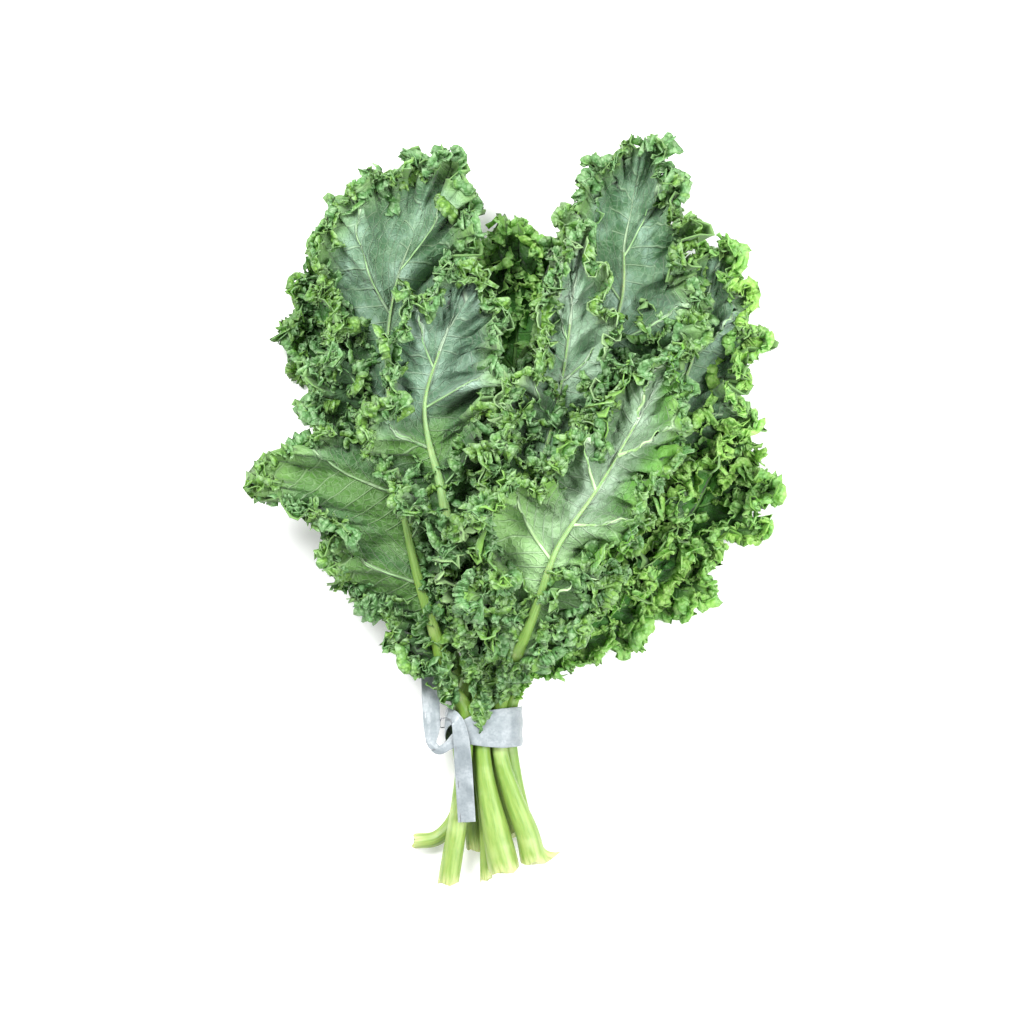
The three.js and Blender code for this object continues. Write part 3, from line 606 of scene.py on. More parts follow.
# The finer form: creases and a turning margin, then curls on the ruffles, then crimps on the curls

def drift(leaf, x, channel):
    """A slow random swing between -1 and 1, the same on each run. Each use has a channel of its own."""
    rng = np.random.default_rng(int(leaf["phase"] * 10) * 16 + channel)
    table = rng.uniform(-1, 1, 64)
    i = np.floor(x).astype(int)
    return mix(table[i % 64], table[(i + 1) % 64], smooth(x - i, 0, 1))


def stretched(leaf, wave, s, width):
    """Fingers and teeth of the margin stretch the outer band of the blade."""
    finger_turn = TURN * (wave * FINGERS_IN_RUFFLE + drift(leaf, wave * 0.8, 6))
    tooth_turn = TURN * (wave * TEETH_IN_RUFFLE + 0.5 * drift(leaf, wave * 2.3, 7))
    finger = np.maximum(0, np.sin(finger_turn)) ** 0.7
    tooth = abs(np.sin(tooth_turn))
    stretch = FINGER * (finger - 0.3) + TOOTH * (tooth - 0.5)
    near = np.clip(1 - (1 - s) * width / MARGIN_BAND, 0, None)
    return s + near ** MARGIN_POWER * stretch / np.maximum(width, 8) * smooth(width, *RUFFLE_WIDTHS)


def creases(leaf, q, s, width):
    """Creases along the side veins, with the blade sagging between them, and the leaf's own hollows."""
    t = 1 - abs(q)
    bent = VEIN_CURVE * np.maximum(s, 0) ** VEIN_CURVE_POWER
    between_veins = np.mod(leaf["lobes"] * t - bent + leaf["phase"] + np.where(q < 0, 0.5, 0), 1)
    own = 0.75 + 0.4 * drift(leaf, leaf["lobes"] * t * 0.9 + np.where(q < 0, 7, 0), 8)
    sag = 0.5 - np.sin(math.pi * between_veins) ** FOLD_POWER
    fold = FOLD * own * (1 if leaf["under"] else -1) * sag
    # They fade out at the midrib, the margin, the narrow base and the tip
    fold = fold * smooth(s, 0, 0.4) * (1 - 0.5 * smooth(s, 0.65, 1))
    fold = fold * smooth(width, *FOLD_WIDTHS) * (1 - smooth(t, 0.9, 1))
    for side, at_t, at_s, reach, depth in leaf.get("hollows", ()):
        away = ((t - at_t) / reach[0]) ** 2 + ((s - at_s) / reach[1]) ** 2
        fold = fold - depth * np.exp(-away) * (side_of(q) == side)
    return fold


def rolled(leaf, q, s):
    wave = wave_at(leaf, q)
    width = width_at(leaf, q)
    turn = mix(*EDGE_TURN, 0.5 + 0.5 * drift(leaf, wave * EDGE_TURN_RATE, 1))
    turn = turn * smooth(width, *RUFFLE_WIDTHS)
    s = stretched(leaf, wave, s, width)
    points = ruffled(leaf, q, s, turn)
    x, y = points[:, 0], points[:, 1]
    (a, b), (c, d) = BULGE_LENGTHS
    bulge = np.sin(x / a + 2 * np.sin(y / b) + leaf["phase"]) * np.sin(y / c + 2 * np.sin(x / d))
    points[:, 2] += creases(leaf, q, s, width) + BULGE * bulge * smooth(s * width, 2, 12)
    return settled(leaf, points, SHEET_LOWEST)


def surface_at(shape, leaf, q, s):
    """Points of the blade in this shape, with their normals and the way along the margin."""
    dq, ds = 0.5 / leaf["margin"], 0.01
    along = shape(leaf, q + dq, s) - shape(leaf, q - dq, s)
    outward = shape(leaf, q, s + ds) - shape(leaf, q, np.maximum(s - ds, 0))
    return shape(leaf, q, s), unit(np.cross(along, outward)), unit(along)


def band_share(leaf, q, s, band):
    return np.clip(1 - (1 - s) * width_at(leaf, q) / band, 0, 1.1)


def waved_sheet(surface, turns, size, height, sway):
    at, normal, along = surface
    lift = height * size * np.sin(TURN * turns)
    shift = sway * size * np.sin(2 * TURN * turns)
    return at + normal * lift[:, None] + along * shift[:, None]


def curled(leaf, q, s):
    wave = wave_at(leaf, q)
    turns = CURLS_IN_RUFFLE * wave + 0.45 * drift(leaf, wave * 1.3, 2)
    near = band_share(leaf, q, s, CURL_BAND) ** 1.1
    size = (1 + 0.35 * drift(leaf, wave * 1.1, 3)) * near * smooth(width_at(leaf, q), *RUFFLE_WIDTHS)
    return waved_sheet(surface_at(rolled, leaf, q, s), turns, size, CURL_HEIGHT, CURL_SWAY)


def crimped(leaf, q, s):
    wave = wave_at(leaf, q)
    turns = CRIMPS_IN_RUFFLE * wave + 0.6 * drift(leaf, wave * 2.7, 4)
    size = (1 + 0.4 * drift(leaf, wave * 2.1, 5)) * band_share(leaf, q, s, CRIMP_BAND)
    return waved_sheet(surface_at(curled, leaf, q, s), turns, size, CRIMP_HEIGHT, CRIMP_SWAY)


# Mesh work

def clear_selection():
    if bpy.context.object and bpy.context.object.mode != "OBJECT":
        bpy.ops.object.mode_set(mode="OBJECT")
    bpy.ops.object.select_all(action="DESELECT")


def plain_grid(columns, rows):
    """A flat grid as a new piece, with its points' places from 0 to 1 across and up."""
    clear_selection()
    bpy.ops.mesh.primitive_grid_add(x_subdivisions=columns, y_subdivisions=rows, size=2)
    piece = bpy.context.object
    return (piece, *grid_places(piece.data))


def grid_places(mesh):
    data = np.empty(len(mesh.vertices) * 3)
    mesh.vertices.foreach_get("co", data)
    flat = data.reshape(-1, 3)
    return (flat[:, 0] + 1) / 2, (flat[:, 1] + 1) / 2


def write_points(mesh, points):
    placed = points + np.array([*CENTRING, 0])
    mesh.vertices.foreach_set("co", (placed * MM).ravel())
    mesh.update()


def kept_above(points, lowest):
    points[:, 2] = np.maximum(points[:, 2], lowest)
    return points


def corner_points(mesh):
    corners = np.empty(len(mesh.loops), int)
    mesh.loops.foreach_get("vertex_index", corners)
    return corners


def write_maps(mesh, **maps):
    """Each map holds two values for every corner of every face."""
    for name, (u, v) in maps.items():
        layer = mesh.uv_layers.get(name) or mesh.uv_layers.new(name=name)
        layer.data.foreach_set("uv", np.stack(np.broadcast_arrays(u, v), -1).ravel())


def choose_faces(mesh, chosen):
    """Selects these faces and no others, and leaves the mesh in edit mode."""
    bpy.ops.object.mode_set(mode="EDIT")
    bpy.ops.mesh.select_mode(type="FACE")
    bpy.ops.mesh.select_all(action="DESELECT")
    bpy.ops.object.mode_set(mode="OBJECT")
    mesh.polygons.foreach_set("select", chosen)
    bpy.ops.object.mode_set(mode="EDIT")


def delete_faces(mesh, chosen):
    choose_faces(mesh, chosen)
    bpy.ops.mesh.delete(type="FACE")
    bpy.ops.object.mode_set(mode="OBJECT")


def face_spans(mesh, column):
    """The lowest and the highest column that each face touches."""
    spans = [(min(own), max(own)) for own in (column[list(face.vertices)] for face in mesh.polygons)]
    return np.array(spans).T


def weld():
    bpy.ops.object.mode_set(mode="EDIT")
    bpy.ops.mesh.select_all(action="SELECT")
    bpy.ops.mesh.remove_doubles(threshold=WELD)


def thicken(piece, thickness):
    """The second and third materials go on the far side and the rim."""
    solidify = piece.modifiers.new("thickness", "SOLIDIFY")
    solidify.thickness = thickness * MM
    solidify.offset = 0
    solidify.material_offset = 1
    solidify.material_offset_rim = 2
    bpy.ops.object.modifier_apply(modifier="thickness")
    bpy.ops.object.shade_smooth()


def close_tubes():
    weld()
    bpy.ops.mesh.select_all(action="DESELECT")
    bpy.ops.mesh.select_mode(type="VERT")
    bpy.ops.mesh.select_non_manifold()
    bpy.ops.mesh.fill_holes(sides=0)
    bpy.ops.mesh.select_all(action="SELECT")
    bpy.ops.mesh.normals_make_consistent(inside=False)
    bpy.ops.object.mode_set(mode="OBJECT")
    bpy.ops.object.shade_smooth_by_angle(angle=math.radians(SMOOTH_ANGLE))


# The blades

def blade_grid(leaf):
    columns = 2 * round(leaf["margin"] / COLUMN_SPACING / 2)
    piece = plain_grid(columns, ROW_COUNT)[0]
    mesh = piece.data
    for share in FINER_ABOVE:
        middles = np.empty(len(mesh.polygons) * 3)
        mesh.polygons.foreach_get("center", middles)
        choose_faces(mesh, middles.reshape(-1, 3)[:, 1] > 2 * share - 1)
        bpy.ops.mesh.subdivide(number_cuts=1)
        bpy.ops.object.mode_set(mode="OBJECT")
    return (piece, *grid_places(mesh))


def frill_zone(leaf, side, t, s):
    zone = np.zeros(len(t))
    for own, t0, t1, s0, s1 in FRILLS[leaf["name"]]:
        inside = smooth(t, t0 - 0.02, t0 + 0.04) * (1 - smooth(t, t1 - 0.02, t1 + 0.02))
        zone = np.maximum(zone, inside * smooth(s, s0 - 0.05, s0 + 0.15) * (side == own))
    return zone


def mean_reach(leaf):
    """Shares of the outline's length from base to tip, alike on both sides."""
    t = np.linspace(0, 1, 201)
    left = np.interp(t - 1, leaf["margin_q"], leaf["margin_wave"])
    right = leaf["waves"] - np.interp(1 - t, leaf["margin_q"], leaf["margin_wave"])
    reach = (left + right) / leaf["waves"]
    return t, reach / reach[-1]


def make_blade(leaf):
    piece, across, s = blade_grid(leaf)
    mesh = piece.data
    x = 2 * across - 1
    t, reach = mean_reach(leaf)
    q = np.sign(x) * (1 - np.interp(1 - abs(x), reach, t))
    points = crimped(leaf, q, s)
    points[:, 2] = np.minimum(points[:, 2], table_at(leaf["above"], points) - BLADE_KEPT_BELOW)
    write_points(mesh, kept_above(points, LOWEST["blade"]))
    map_blade(mesh, leaf, x, q, s)
    weld()
    bpy.ops.object.mode_set(mode="OBJECT")
    thicken(piece, BLADE_THICKNESS * SHEET_SHARE)
    return piece


def map_blade(mesh, leaf, x, q, s):
    """The two halves meet at the tip, so a corner there is told by its face's side."""
    corners = corner_points(mesh)
    totals = np.empty(len(mesh.polygons), int)
    mesh.polygons.foreach_get("loop_total", totals)
    face_x = np.array([np.mean(x[list(face.vertices)]) for face in mesh.polygons])
    side = side_of(np.repeat(face_x, totals))
    t, s = 1 - abs(q[corners]), s[corners]
    lobe = leaf["lobes"] * t + leaf["phase"] + np.where(side > 0, 0, 0.5)
    write_maps(mesh, veins=(lobe, s * half_width(leaf, side, t)), blade=(t, s),
               zone=(frill_zone(leaf, side, t, s), np.where(side > 0, 0.0, 1.0)))


def vein_ways(leaf):
    """Each side vein's run over the blade, one to a lobe: its points, the way up and the way across."""
    s = np.linspace(0.0, VEIN_ENDS, VEIN_RINGS)
    ways = []
    for side in (1, -1):
        for k in range(leaf["lobes"] + 2):
            start = (k + 0.5 - leaf["phase"] % 1 - (0 if side > 0 else 0.5)) / leaf["lobes"]
            if not 0.04 < start < 0.93:
                continue
            t = start + VEIN_CURVE * s ** VEIN_CURVE_POWER / leaf["lobes"]
            at, normal, along = surface_at(crimped, leaf, -side * (1 - t), s)
            heading = unit(np.gradient(at, axis=0))
            across = unit(np.cross(heading, normal))
            ways.append((at, np.cross(across, heading), across))
    return [np.stack([way[part] for way in ways]) for part in range(3)]


def make_veins(leaf):
    """Raised side veins on a blade that lies underside up."""
    ats, ups, acrosses = vein_ways(leaf)
    rings = VEIN_RINGS
    columns = len(ats) * rings - 1
    piece, place, turns = plain_grid(columns, VEIN_SIDES)
    mesh = piece.data
    column = np.round(place * columns).astype(int)
    way, ring = column // rings, column % rings
    at, up, across = (table[way, ring] for table in (ats, ups, acrosses))
    radius = mix(leaf.get("vein", SIDE_VEIN[0]), SIDE_VEIN[1], (ring / (rings - 1)) ** 0.6)[:, None]
    angle = (TURN * turns)[:, None]
    points = at + across * radius * np.cos(angle) + up * radius * (0.1 + 0.75 * np.sin(angle))
    write_points(mesh, kept_above(points, LOWEST["veins"]))
    corners = corner_points(mesh)
    write_maps(mesh, veins=(turns[corners], ring[corners] * 2.0), blade=(np.full(len(corners), 0.75), 0.0))
    # The faces that would join one vein's end to the next one's start
    low, high = face_spans(mesh, column)
    delete_faces(mesh, (low % rings == rings - 1) & (high % rings == 0))
    close_tubes()
    return piece


# Free-standing frills: short wandering crests that rise from the blade and meander at their free edge

PATH = np.linspace(-0.5, 0.5, PATH_POINTS)


def stalk_frill(rng, side, start, long):
    tall = rng.uniform(*STALK_FRILL_HEIGHT)
    phase = rng.uniform(0, 1)
    way = start + (PATH + 0.5) * rng.uniform(*STALK_FRILL_LENGTH)
    beside = rng.uniform(*STALK_FRILL_BESIDE) + STALK_FRILL_WANDER * np.sin(TURN * (PATH + phase))
    lean = side * rng.uniform(*STALK_FRILL_LEAN)
    return -side * (1 - way / long), beside * STALK_HOLD / BASE_WIDTH, tall, phase, lean


def blade_frill(rng, leaf, area, corner, long):
    side, t0, _, s0, _ = area
    here = np.array(corner) + rng.uniform(0, 1, 2) * FRILL_SPACING
    size = rng.uniform(*FRILL_LENGTH)
    heading = rng.uniform(0, TURN)
    bend = rng.uniform(-FRILL_BEND, FRILL_BEND)
    height = rng.uniform(*FRILL_HEIGHT)
    phase = rng.uniform(0, 1)
    lean = rng.uniform(*FRILL_LEAN) * rng.choice((-1, 1))
    angles = heading + bend * size * PATH + FRILL_WANDER * np.sin(TURN * (PATH + phase))
    steps = np.stack([np.cos(angles), np.sin(angles)], 1) * size / PATH_POINTS
    way = here + np.cumsum(steps, 0) - np.sum(steps, 0) / 2
    t = way[:, 0] / long
    # Below the blade they grow on the stalk itself
    wide = half_width(leaf, side, np.clip(t, 0, 1))
    s = way[:, 1] / np.where(t < 0, STALK_HOLD, wide)
    # Only the first unbroken run inside the blade is kept
    inside = (t > min(t0, 0.004)) & (t < 0.985) & (s > (0.06 if s0 else 0)) & (s < 1)
    first = np.argmax(inside)
    last = first + (np.argmin(inside[first:]) or PATH_POINTS - first)
    if not inside.any() or last - first < FEWEST_POINTS:
        return None
    places = np.linspace(first, last - 1, PATH_POINTS)
    t, s = (np.interp(places, np.arange(PATH_POINTS), value) for value in (t, s))
    s = np.where(t < 0, s * STALK_HOLD / half_width(leaf, side, np.clip(t, 0, 1)), s)
    return -side * (1 - t), s, height, phase, lean


def fringe_frill(rng, leaf, start):
    """One of the frills set end over end along the margin, leaning outwards."""
    run = start + rng.uniform(0, FRINGE_SHIFT) + (PATH + 0.5) * FRINGE_LENGTH
    wave = run / leaf["margin"] * leaf["waves"]
    q = np.interp(wave, leaf["margin_wave"], leaf["margin_q"])
    s = FRINGE_PLACE - 0.1 * rng.uniform(0, 1) * np.cos(math.pi * PATH) ** 2
    height = rng.uniform(*FRILL_HEIGHT)
    phase = rng.uniform(0, 1)
    return q, s, height, phase, rng.uniform(*FRINGE_LEAN)


def frill_paths(leaf):
    """Each frill's run over the blade as q and s, with its height, phase and lean."""
    rng = np.random.default_rng(int(leaf["phase"] * 10) + 100)
    long = leaf["length"] * (1 - leaf["blade"])
    paths = []
    for area in FRILLS[leaf["name"]]:
        side, t0, t1, s0, s1 = area
        for a in np.repeat(np.arange(min(t0, 0) * long, 0, STALK_FRILL_SPACING), 2):
            paths.append(stalk_frill(rng, side, a, long))
        for a in np.arange(max(t0, 0) * long, t1 * long, FRILL_SPACING):
            width = float(half_width(leaf, side, np.array(a / long)))
            ragged = RAGGED * math.sin(a / 5 + leaf["phase"]) + RAGGED * math.sin(a / 1.9)
            inner = s0 + ragged if s0 > 0.3 else s0
            for b in np.arange(inner * width, s1 * width, FRILL_SPACING):
                paths.append(blade_frill(rng, leaf, area, (a, b), long))
    for start in np.arange(0, leaf["margin"] - FRINGE_LENGTH, FRINGE_STEP):
        paths.append(fringe_frill(rng, leaf, start))
    return [path for path in paths if path]


def rib_height(leaf, q, s):
    share = mix(leaf["blade"], 1, 1 - abs(q))
    radius = stalk_radius(leaf, share)
    beside = s * width_at(leaf, q) / radius
    crown = STALK_FLATNESS * np.sqrt(np.clip(1 - beside ** 2, 0, 1))
    proud = (1 if leaf["under"] else -1) * MIDRIB_PROUD + crown
    return np.where(beside < 1, np.maximum(proud, 0) * radius, 0)


def one_frill(path, points, room):
    """A frill's columns, with one spare column at either end: one row for each value."""
    q, s, height, phase, lean = path
    gone = lengths_along(points)
    high = gone[-1]
    count = round(high / FRILL_STEP)
    if count < FEWEST_STEPS or high > 3 * FRILL_LENGTH[1]:
        return None
    x = np.arange(-1, count + 2) / count * high
    share = np.clip(x, 0, high)
    ends = np.clip(np.sin(math.pi * np.clip(x / high, 0, 1)), 0, 1) ** 0.5
    teeth = 1 + FRILL_TEETH * (abs(np.sin(TURN * (x / FRILL_TOOTH_LENGTH + phase))) - 0.5)
    tall = min(height, room) * (FRILL_ENDS + (1 - FRILL_ENDS) * ends) * teeth
    leans = lean + FRILL_SWING * np.sin(TURN * (x / high + phase))
    column = np.arange(len(x))
    return np.stack([np.interp(share, gone, q), np.interp(share, gone, s), x, tall, leans,
                     np.full(len(x), phase), column == 0, column == len(x) - 1])


def frill_columns(leaf):
    """All frills' columns end to end, as a table of arrays."""
    paths = frill_paths(leaf)
    q, s = (np.concatenate([path[k] for path in paths]) for k in (0, 1))
    points = rolled(leaf, q, s).reshape(len(paths), -1, 3)
    rooms = np.min(table_at(leaf["above"], points) - points[..., 2], axis=1) - ROOM_KEPT
    seen = table_at(leaf["exposed"], points).mean(axis=1)
    picked = [one_frill(paths[n], points[n], rooms[n]) for n in range(len(paths))
              if rooms[n] >= LEAST_ROOM and seen[n] >= LEAST_SEEN]
    table = np.concatenate([frill for frill in picked if frill is not None], axis=1)
    q, s, x, tall, leans, phase = table[:6]
    first, last = table[6:].astype(int)
    base, normal, _ = surface_at(rolled, leaf, q, s)
    base[:, 2] += rib_height(leaf, q, s)
    # Spare columns lie one step beyond the frill's own ends
    i = np.arange(len(x))
    inward = first - last
    spare = inward != 0
    base = np.where(spare[:, None], 2 * base[i + inward] - base[i + 2 * inward], base)
    heading = unit(base[i + 1 - last] - base[i - 1 + first])
    normal = normal * np.where(normal[:, 2] < 0, -1, 1)[:, None]
    upward = unit(normal + FRILL_UPWARD * WORLD_UP)
    upward = unit(upward - heading * np.sum(upward * heading, 1)[:, None])
    return dict(base=base, upward=upward, sideways=np.cross(heading, upward), x=x, tall=tall, leans=leans,
                phase=phase, spare=spare)


def frill_shape(columns):
    """The frills' smooth form: a function of the column's number and of the share of the height."""

    def at(k, v):
        low = np.floor(k).astype(int)
        f = k - low
        base, upward, sideways = (mix(columns[name][low], columns[name][low + 1], f[:, None])
                                  for name in ("base", "upward", "sideways"))
        tall, lean = (mix(columns[name][low], columns[name][low + 1], f) for name in ("tall", "leans"))
        tip = upward * np.cos(lean * v)[:, None] + sideways * np.sin(lean * v)[:, None]
        return base + tip * (tall * v - FRILL_SUNK * (1 - v))[:, None]

    return at


def waved(shape, length, height, sway, power, phase):
    """The shape with one more order of waves across it."""

    def at(k, v):
        dk, dv = 0.3, 0.04
        along = shape(k + dk, v) - shape(k - dk, v)
        up = shape(k, v + dv) - shape(k, v - dv)
        normal, along = unit(np.cross(along, up)), unit(along)
        own = phase[np.round(k).astype(int)]
        turns = k * FRILL_STEP / length + own * 7
        turns = turns + 0.15 * np.sin(TURN * (k * FRILL_STEP / (length * 2.7) + own))
        rise = np.maximum(v, 0) ** power
        lift = height * rise * np.sin(TURN * turns)
        along = along * (sway * rise * np.sin(2 * TURN * turns))[:, None]
        return shape(k, v) + normal * lift[:, None] + along

    return at


def make_frills(leaf):
    columns = frill_columns(leaf)
    own = np.nonzero(~columns["spare"])[0]
    piece, place, v = plain_grid(len(own) - 1, FRILL_ROWS)
    mesh = piece.data
    column = np.round(place * (len(own) - 1)).astype(int)
    k = own[column]
    phase = columns["phase"]
    shape = frill_shape(columns)
    shape = waved(shape, LONG_WAVE, LONG_WAVE_HEIGHT, 1.0, 1.0, phase)
    shape = waved(shape, SHORT_WAVE, SHORT_WAVE_HEIGHT, 0.35, 1.4, 1.7 * phase)
    write_points(mesh, kept_above(shape(k.astype(float), v), LOWEST["frills"]))
    corners = corner_points(mesh)
    k = k[corners]
    write_maps(mesh, veins=(columns["x"][k], columns["tall"][k]), blade=(phase[k], v[corners]))
    # The faces that would join one frill's last column to the next one's first
    lasts = np.nonzero(np.diff(own) > 1)[0]
    low, high = face_spans(mesh, column)
    delete_faces(mesh, np.isin(low, lasts))
    thicken(piece, FRILL_THICKNESS)
    return piece


def cut_end(leaf, share, round_it):
    """How far the points near the cut lie off the plain stalk. One stalk has a torn spur."""
    _, along, _, left = frame_at(leaf, share)
    near = np.clip(1 - share * leaf["length"] / CUT_UNEVEN_OVER, 0, 1)[:, None]
    tilt = 0.8 * np.cos(TURN * (round_it + leaf["phase"]))
    uneven = tilt + 0.5 * np.cos(TURN * (4 * round_it + leaf["phase"]))
    off = along * near * CUT_UNEVEN * uneven[:, None]
    if "spur" in leaf:
        turn, reach = leaf["spur"]
        facing = np.clip(np.cos(TURN * (round_it - 0.5 - turn)), 0, 1)[:, None] ** 8
        off = off + (0.35 * along - left) * near ** 2 * reach * facing
    return off


def make_stalk(leaf):
    piece, round_it, up = plain_grid(FINE_STALK_SIDES, FINE_STALK_RINGS)
    mesh = piece.data
    share = up ** RING_CROWDING * MIDRIB_END
    ribs = STALK_RIBS[0] * np.cos(TURN * 5 * round_it + 9 * leaf["phase"])
    ribs = ribs + STALK_RIBS[1] * np.cos(TURN * 3 * round_it + 40 * share)
    slim = mix(1, MIDRIB_SLIM, smooth(share, leaf["blade"] + 0.05, leaf["blade"] + 0.4))
    points = stalk_point(leaf, share, round_it, stalk_radius(leaf, share) * slim * (1 + ribs))
    points = points + cut_end(leaf, share, round_it)
    write_points(mesh, settled(leaf, points, 0))
    corners = corner_points(mesh)
    round_it, share = round_it[corners], share[corners]
    write_maps(mesh, veins=(round_it, share * leaf["length"]), blade=(share, 0.0))
    close_tubes()
    # The stalk's second material goes on its closed ends
    for face in mesh.polygons:
        face.material_index = 1 if len(face.vertices) > 4 else 0
    return piece


def make_tie():
    """The tie, by the same stations as the solid strip."""
    rings = TIE_RINGS_A_STATION * (len(TIE) - 1)
    piece, round_it, place = plain_grid(TIE_SIDES, rings)
    mesh = piece.data
    stations, across = (np.array([station[part] for station in TIE], float) for part in (0, 1))
    sizes = np.array([station[2:] for station in TIE], float)
    numbers = np.arange(len(TIE))
    where = place * (len(TIE) - 1)
    ahead = curve_points(stations, np.minimum(place + 1e-3, 1))
    behind = curve_points(stations, np.maximum(place - 1e-3, 0))
    along = unit(ahead - behind)
    wide = sampled(where, numbers, across)
    wide = unit(wide - along * np.sum(wide * along, 1)[:, None])
    width, edge = sampled(where, numbers, sizes).T
    # A flat section with round edges, and the wire's bulge along its middle
    cos, sin = np.cos(TURN * round_it), np.sin(TURN * round_it)
    u = width / 2 * np.sign(cos) * abs(cos) ** TIE_POWERS[0]
    bulge = WIRE_BULGE * np.exp(-(u / WIRE_RADIUS) ** 2) * abs(sin)
    v = np.sign(sin) * (abs(sin) ** TIE_POWERS[1] * edge * TIE_EDGE + bulge)
    gone = np.interp(where, numbers, lengths_along(stations))
    crumple = TIE_CRUMPLE[0] * np.sin(gone / 2.9 + u / 1.5)
    crumple = crumple + TIE_CRUMPLE[1] * np.sin(gone / 1.3 - u / 2.1) * np.sin(gone / 6.1)
    v = v + crumple * np.clip(abs(u) / CRUMPLE_FROM_WIRE, 0, 1)
    points = curve_points(stations, place) + wide * u[:, None] + np.cross(wide, along) * v[:, None]
    write_points(mesh, kept_above(points, LOWEST["tie"]))
    corners = corner_points(mesh)
    write_maps(mesh, veins=(gone[corners], u[corners]))
    close_tubes()
    piece.name = mesh.name = "tie_ribbon"
    mesh.materials.append(TIE_PAPER)
    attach(piece, "root")
    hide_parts("tie_strip")


# Finishes

class Paint:
    """A material's nodes, made and joined by short calls."""

    def __init__(self, name):
        self.material = bpy.data.materials.new(name)
        self.material.use_nodes = True
        self.tree = self.material.node_tree
        self.tree.nodes.clear()

    def node(self, kind, **settings):
        made = self.tree.nodes.new("ShaderNode" + kind)
        inputs = settings.pop("inputs", {})
        for name, value in settings.items():
            setattr(made, name, value)
        for name, value in inputs.items():
            self.feed(made.inputs[name], value)
        return made

    def feed(self, socket, value):
        if isinstance(value, bpy.types.NodeSocket):
            self.tree.links.new(value, socket)
        else:
            socket.default_value = value

    def sum(self, kind, *values):
        made = self.node("Math", operation=kind)
        for socket, value in zip(made.inputs, values):
            self.feed(socket, value)
        return made.outputs[0]

    def times(self, *values):
        product = values[0]
        for value in values[1:]:
            product = self.sum("MULTIPLY", product, value)
        return product

    def ramp(self, value, low, high, to_low=0.0, to_high=1.0):
        made = self.node("MapRange", interpolation_type="SMOOTHSTEP")
        for socket, x in zip(made.inputs, (value, low, high, to_low, to_high)):
            self.feed(socket, x)
        return made.outputs[0]

    def blend(self, share, a, b):
        made = self.node("Mix", data_type="RGBA")
        self.feed(made.inputs[0], share)
        self.feed(made.inputs[6], a)
        self.feed(made.inputs[7], b)
        return made.outputs[2]

    def place(self):
        return self.node("TexCoord").outputs["Object"]

    def map(self, name):
        return self.node("UVMap", uv_map=name).outputs["UV"]

    def parts(self, vector):
        made = self.node("SeparateXYZ", inputs={"Vector": vector})
        return made.outputs["X"], made.outputs["Y"]

    def noise(self, place, scale, detail=3.0, rough=0.55):
        inputs = {"Vector": place, "Scale": scale, "Detail": detail, "Roughness": rough}
        return self.node("TexNoise", inputs=inputs).outputs["Fac"]

    def bump(self, strength, distance, height):
        inputs = {"Strength": strength, "Distance": distance, "Height": height}
        return self.node("Bump", inputs=inputs).outputs[0]

    def finish(self, surface):
        self.node("OutputMaterial", inputs={"Surface": surface})
        return self.material

    def skin(self, **inputs):
        """The surface's own shader. Its sockets are given by name, with _ for a space."""
        named = {name.replace("_", " "): value for name, value in inputs.items()}
        return self.node("BsdfPrincipled", inputs=named).outputs[0]

    def leafy(self, skin, colour, glow, glow_share, share, normal):
        """The skin, with some of the light coming through it in a sunnier green."""
        through = self.node("BsdfTranslucent",
                            inputs={"Color": self.blend(glow_share, colour, glow), "Normal": normal})
        both = self.node("MixShader", inputs={0: share, 1: skin, 2: through.outputs[0]})
        return self.finish(both.outputs[0])


def srgb(red, green, blue):
    shares = [value / 255 for value in (red, green, blue)]
    return (*(c / 12.92 if c <= 0.04045 else ((c + 0.055) / 1.055) ** 2.4 for c in shares), 1.0)


def vein_mask(p, place, lobe_place, out, s):
    """Painted veins: one to a lobe, branches off them, a fine net and the midrib."""
    bent = p.times(p.sum("POWER", s, VEIN_CURVE_POWER), VEIN_CURVE)
    lobe = p.sum("SUBTRACT", p.sum("FRACT", p.sum("SUBTRACT", lobe_place, bent)), 0.5)
    off = p.times(lobe, float(LOBE_LENGTH))
    beside = p.sum("ABSOLUTE", off)
    side_vein = p.ramp(p.sum("DIVIDE", beside, p.ramp(out, 0.0, 40.0, 1.0, 0.3)), 0.5, 1.6, 0.8, 0.0)
    branch = p.sum("FRACT", p.sum("DIVIDE", p.sum("SUBTRACT", out, p.times(beside, 1.15)), 8.5))
    branch = p.times(p.sum("ABSOLUTE", p.sum("SUBTRACT", branch, 0.5)), 8.5)
    branch = p.ramp(branch, 0.1, 0.7, 0.42, 0.0)
    net = p.node("TexVoronoi", feature="DISTANCE_TO_EDGE", inputs={"Vector": place, "Scale": 300.0})
    net = p.ramp(net.outputs["Distance"], 0.02, 0.14, 0.16, 0.0)
    midrib = p.ramp(out, 0.5, 1.8, 1.0, 0.0)
    mask = p.sum("MAXIMUM", p.sum("MAXIMUM", side_vein, midrib), p.sum("MAXIMUM", branch, net))
    return p.times(mask, p.ramp(s, 0.75, 1.0, 1.0, 0.25)), off, beside


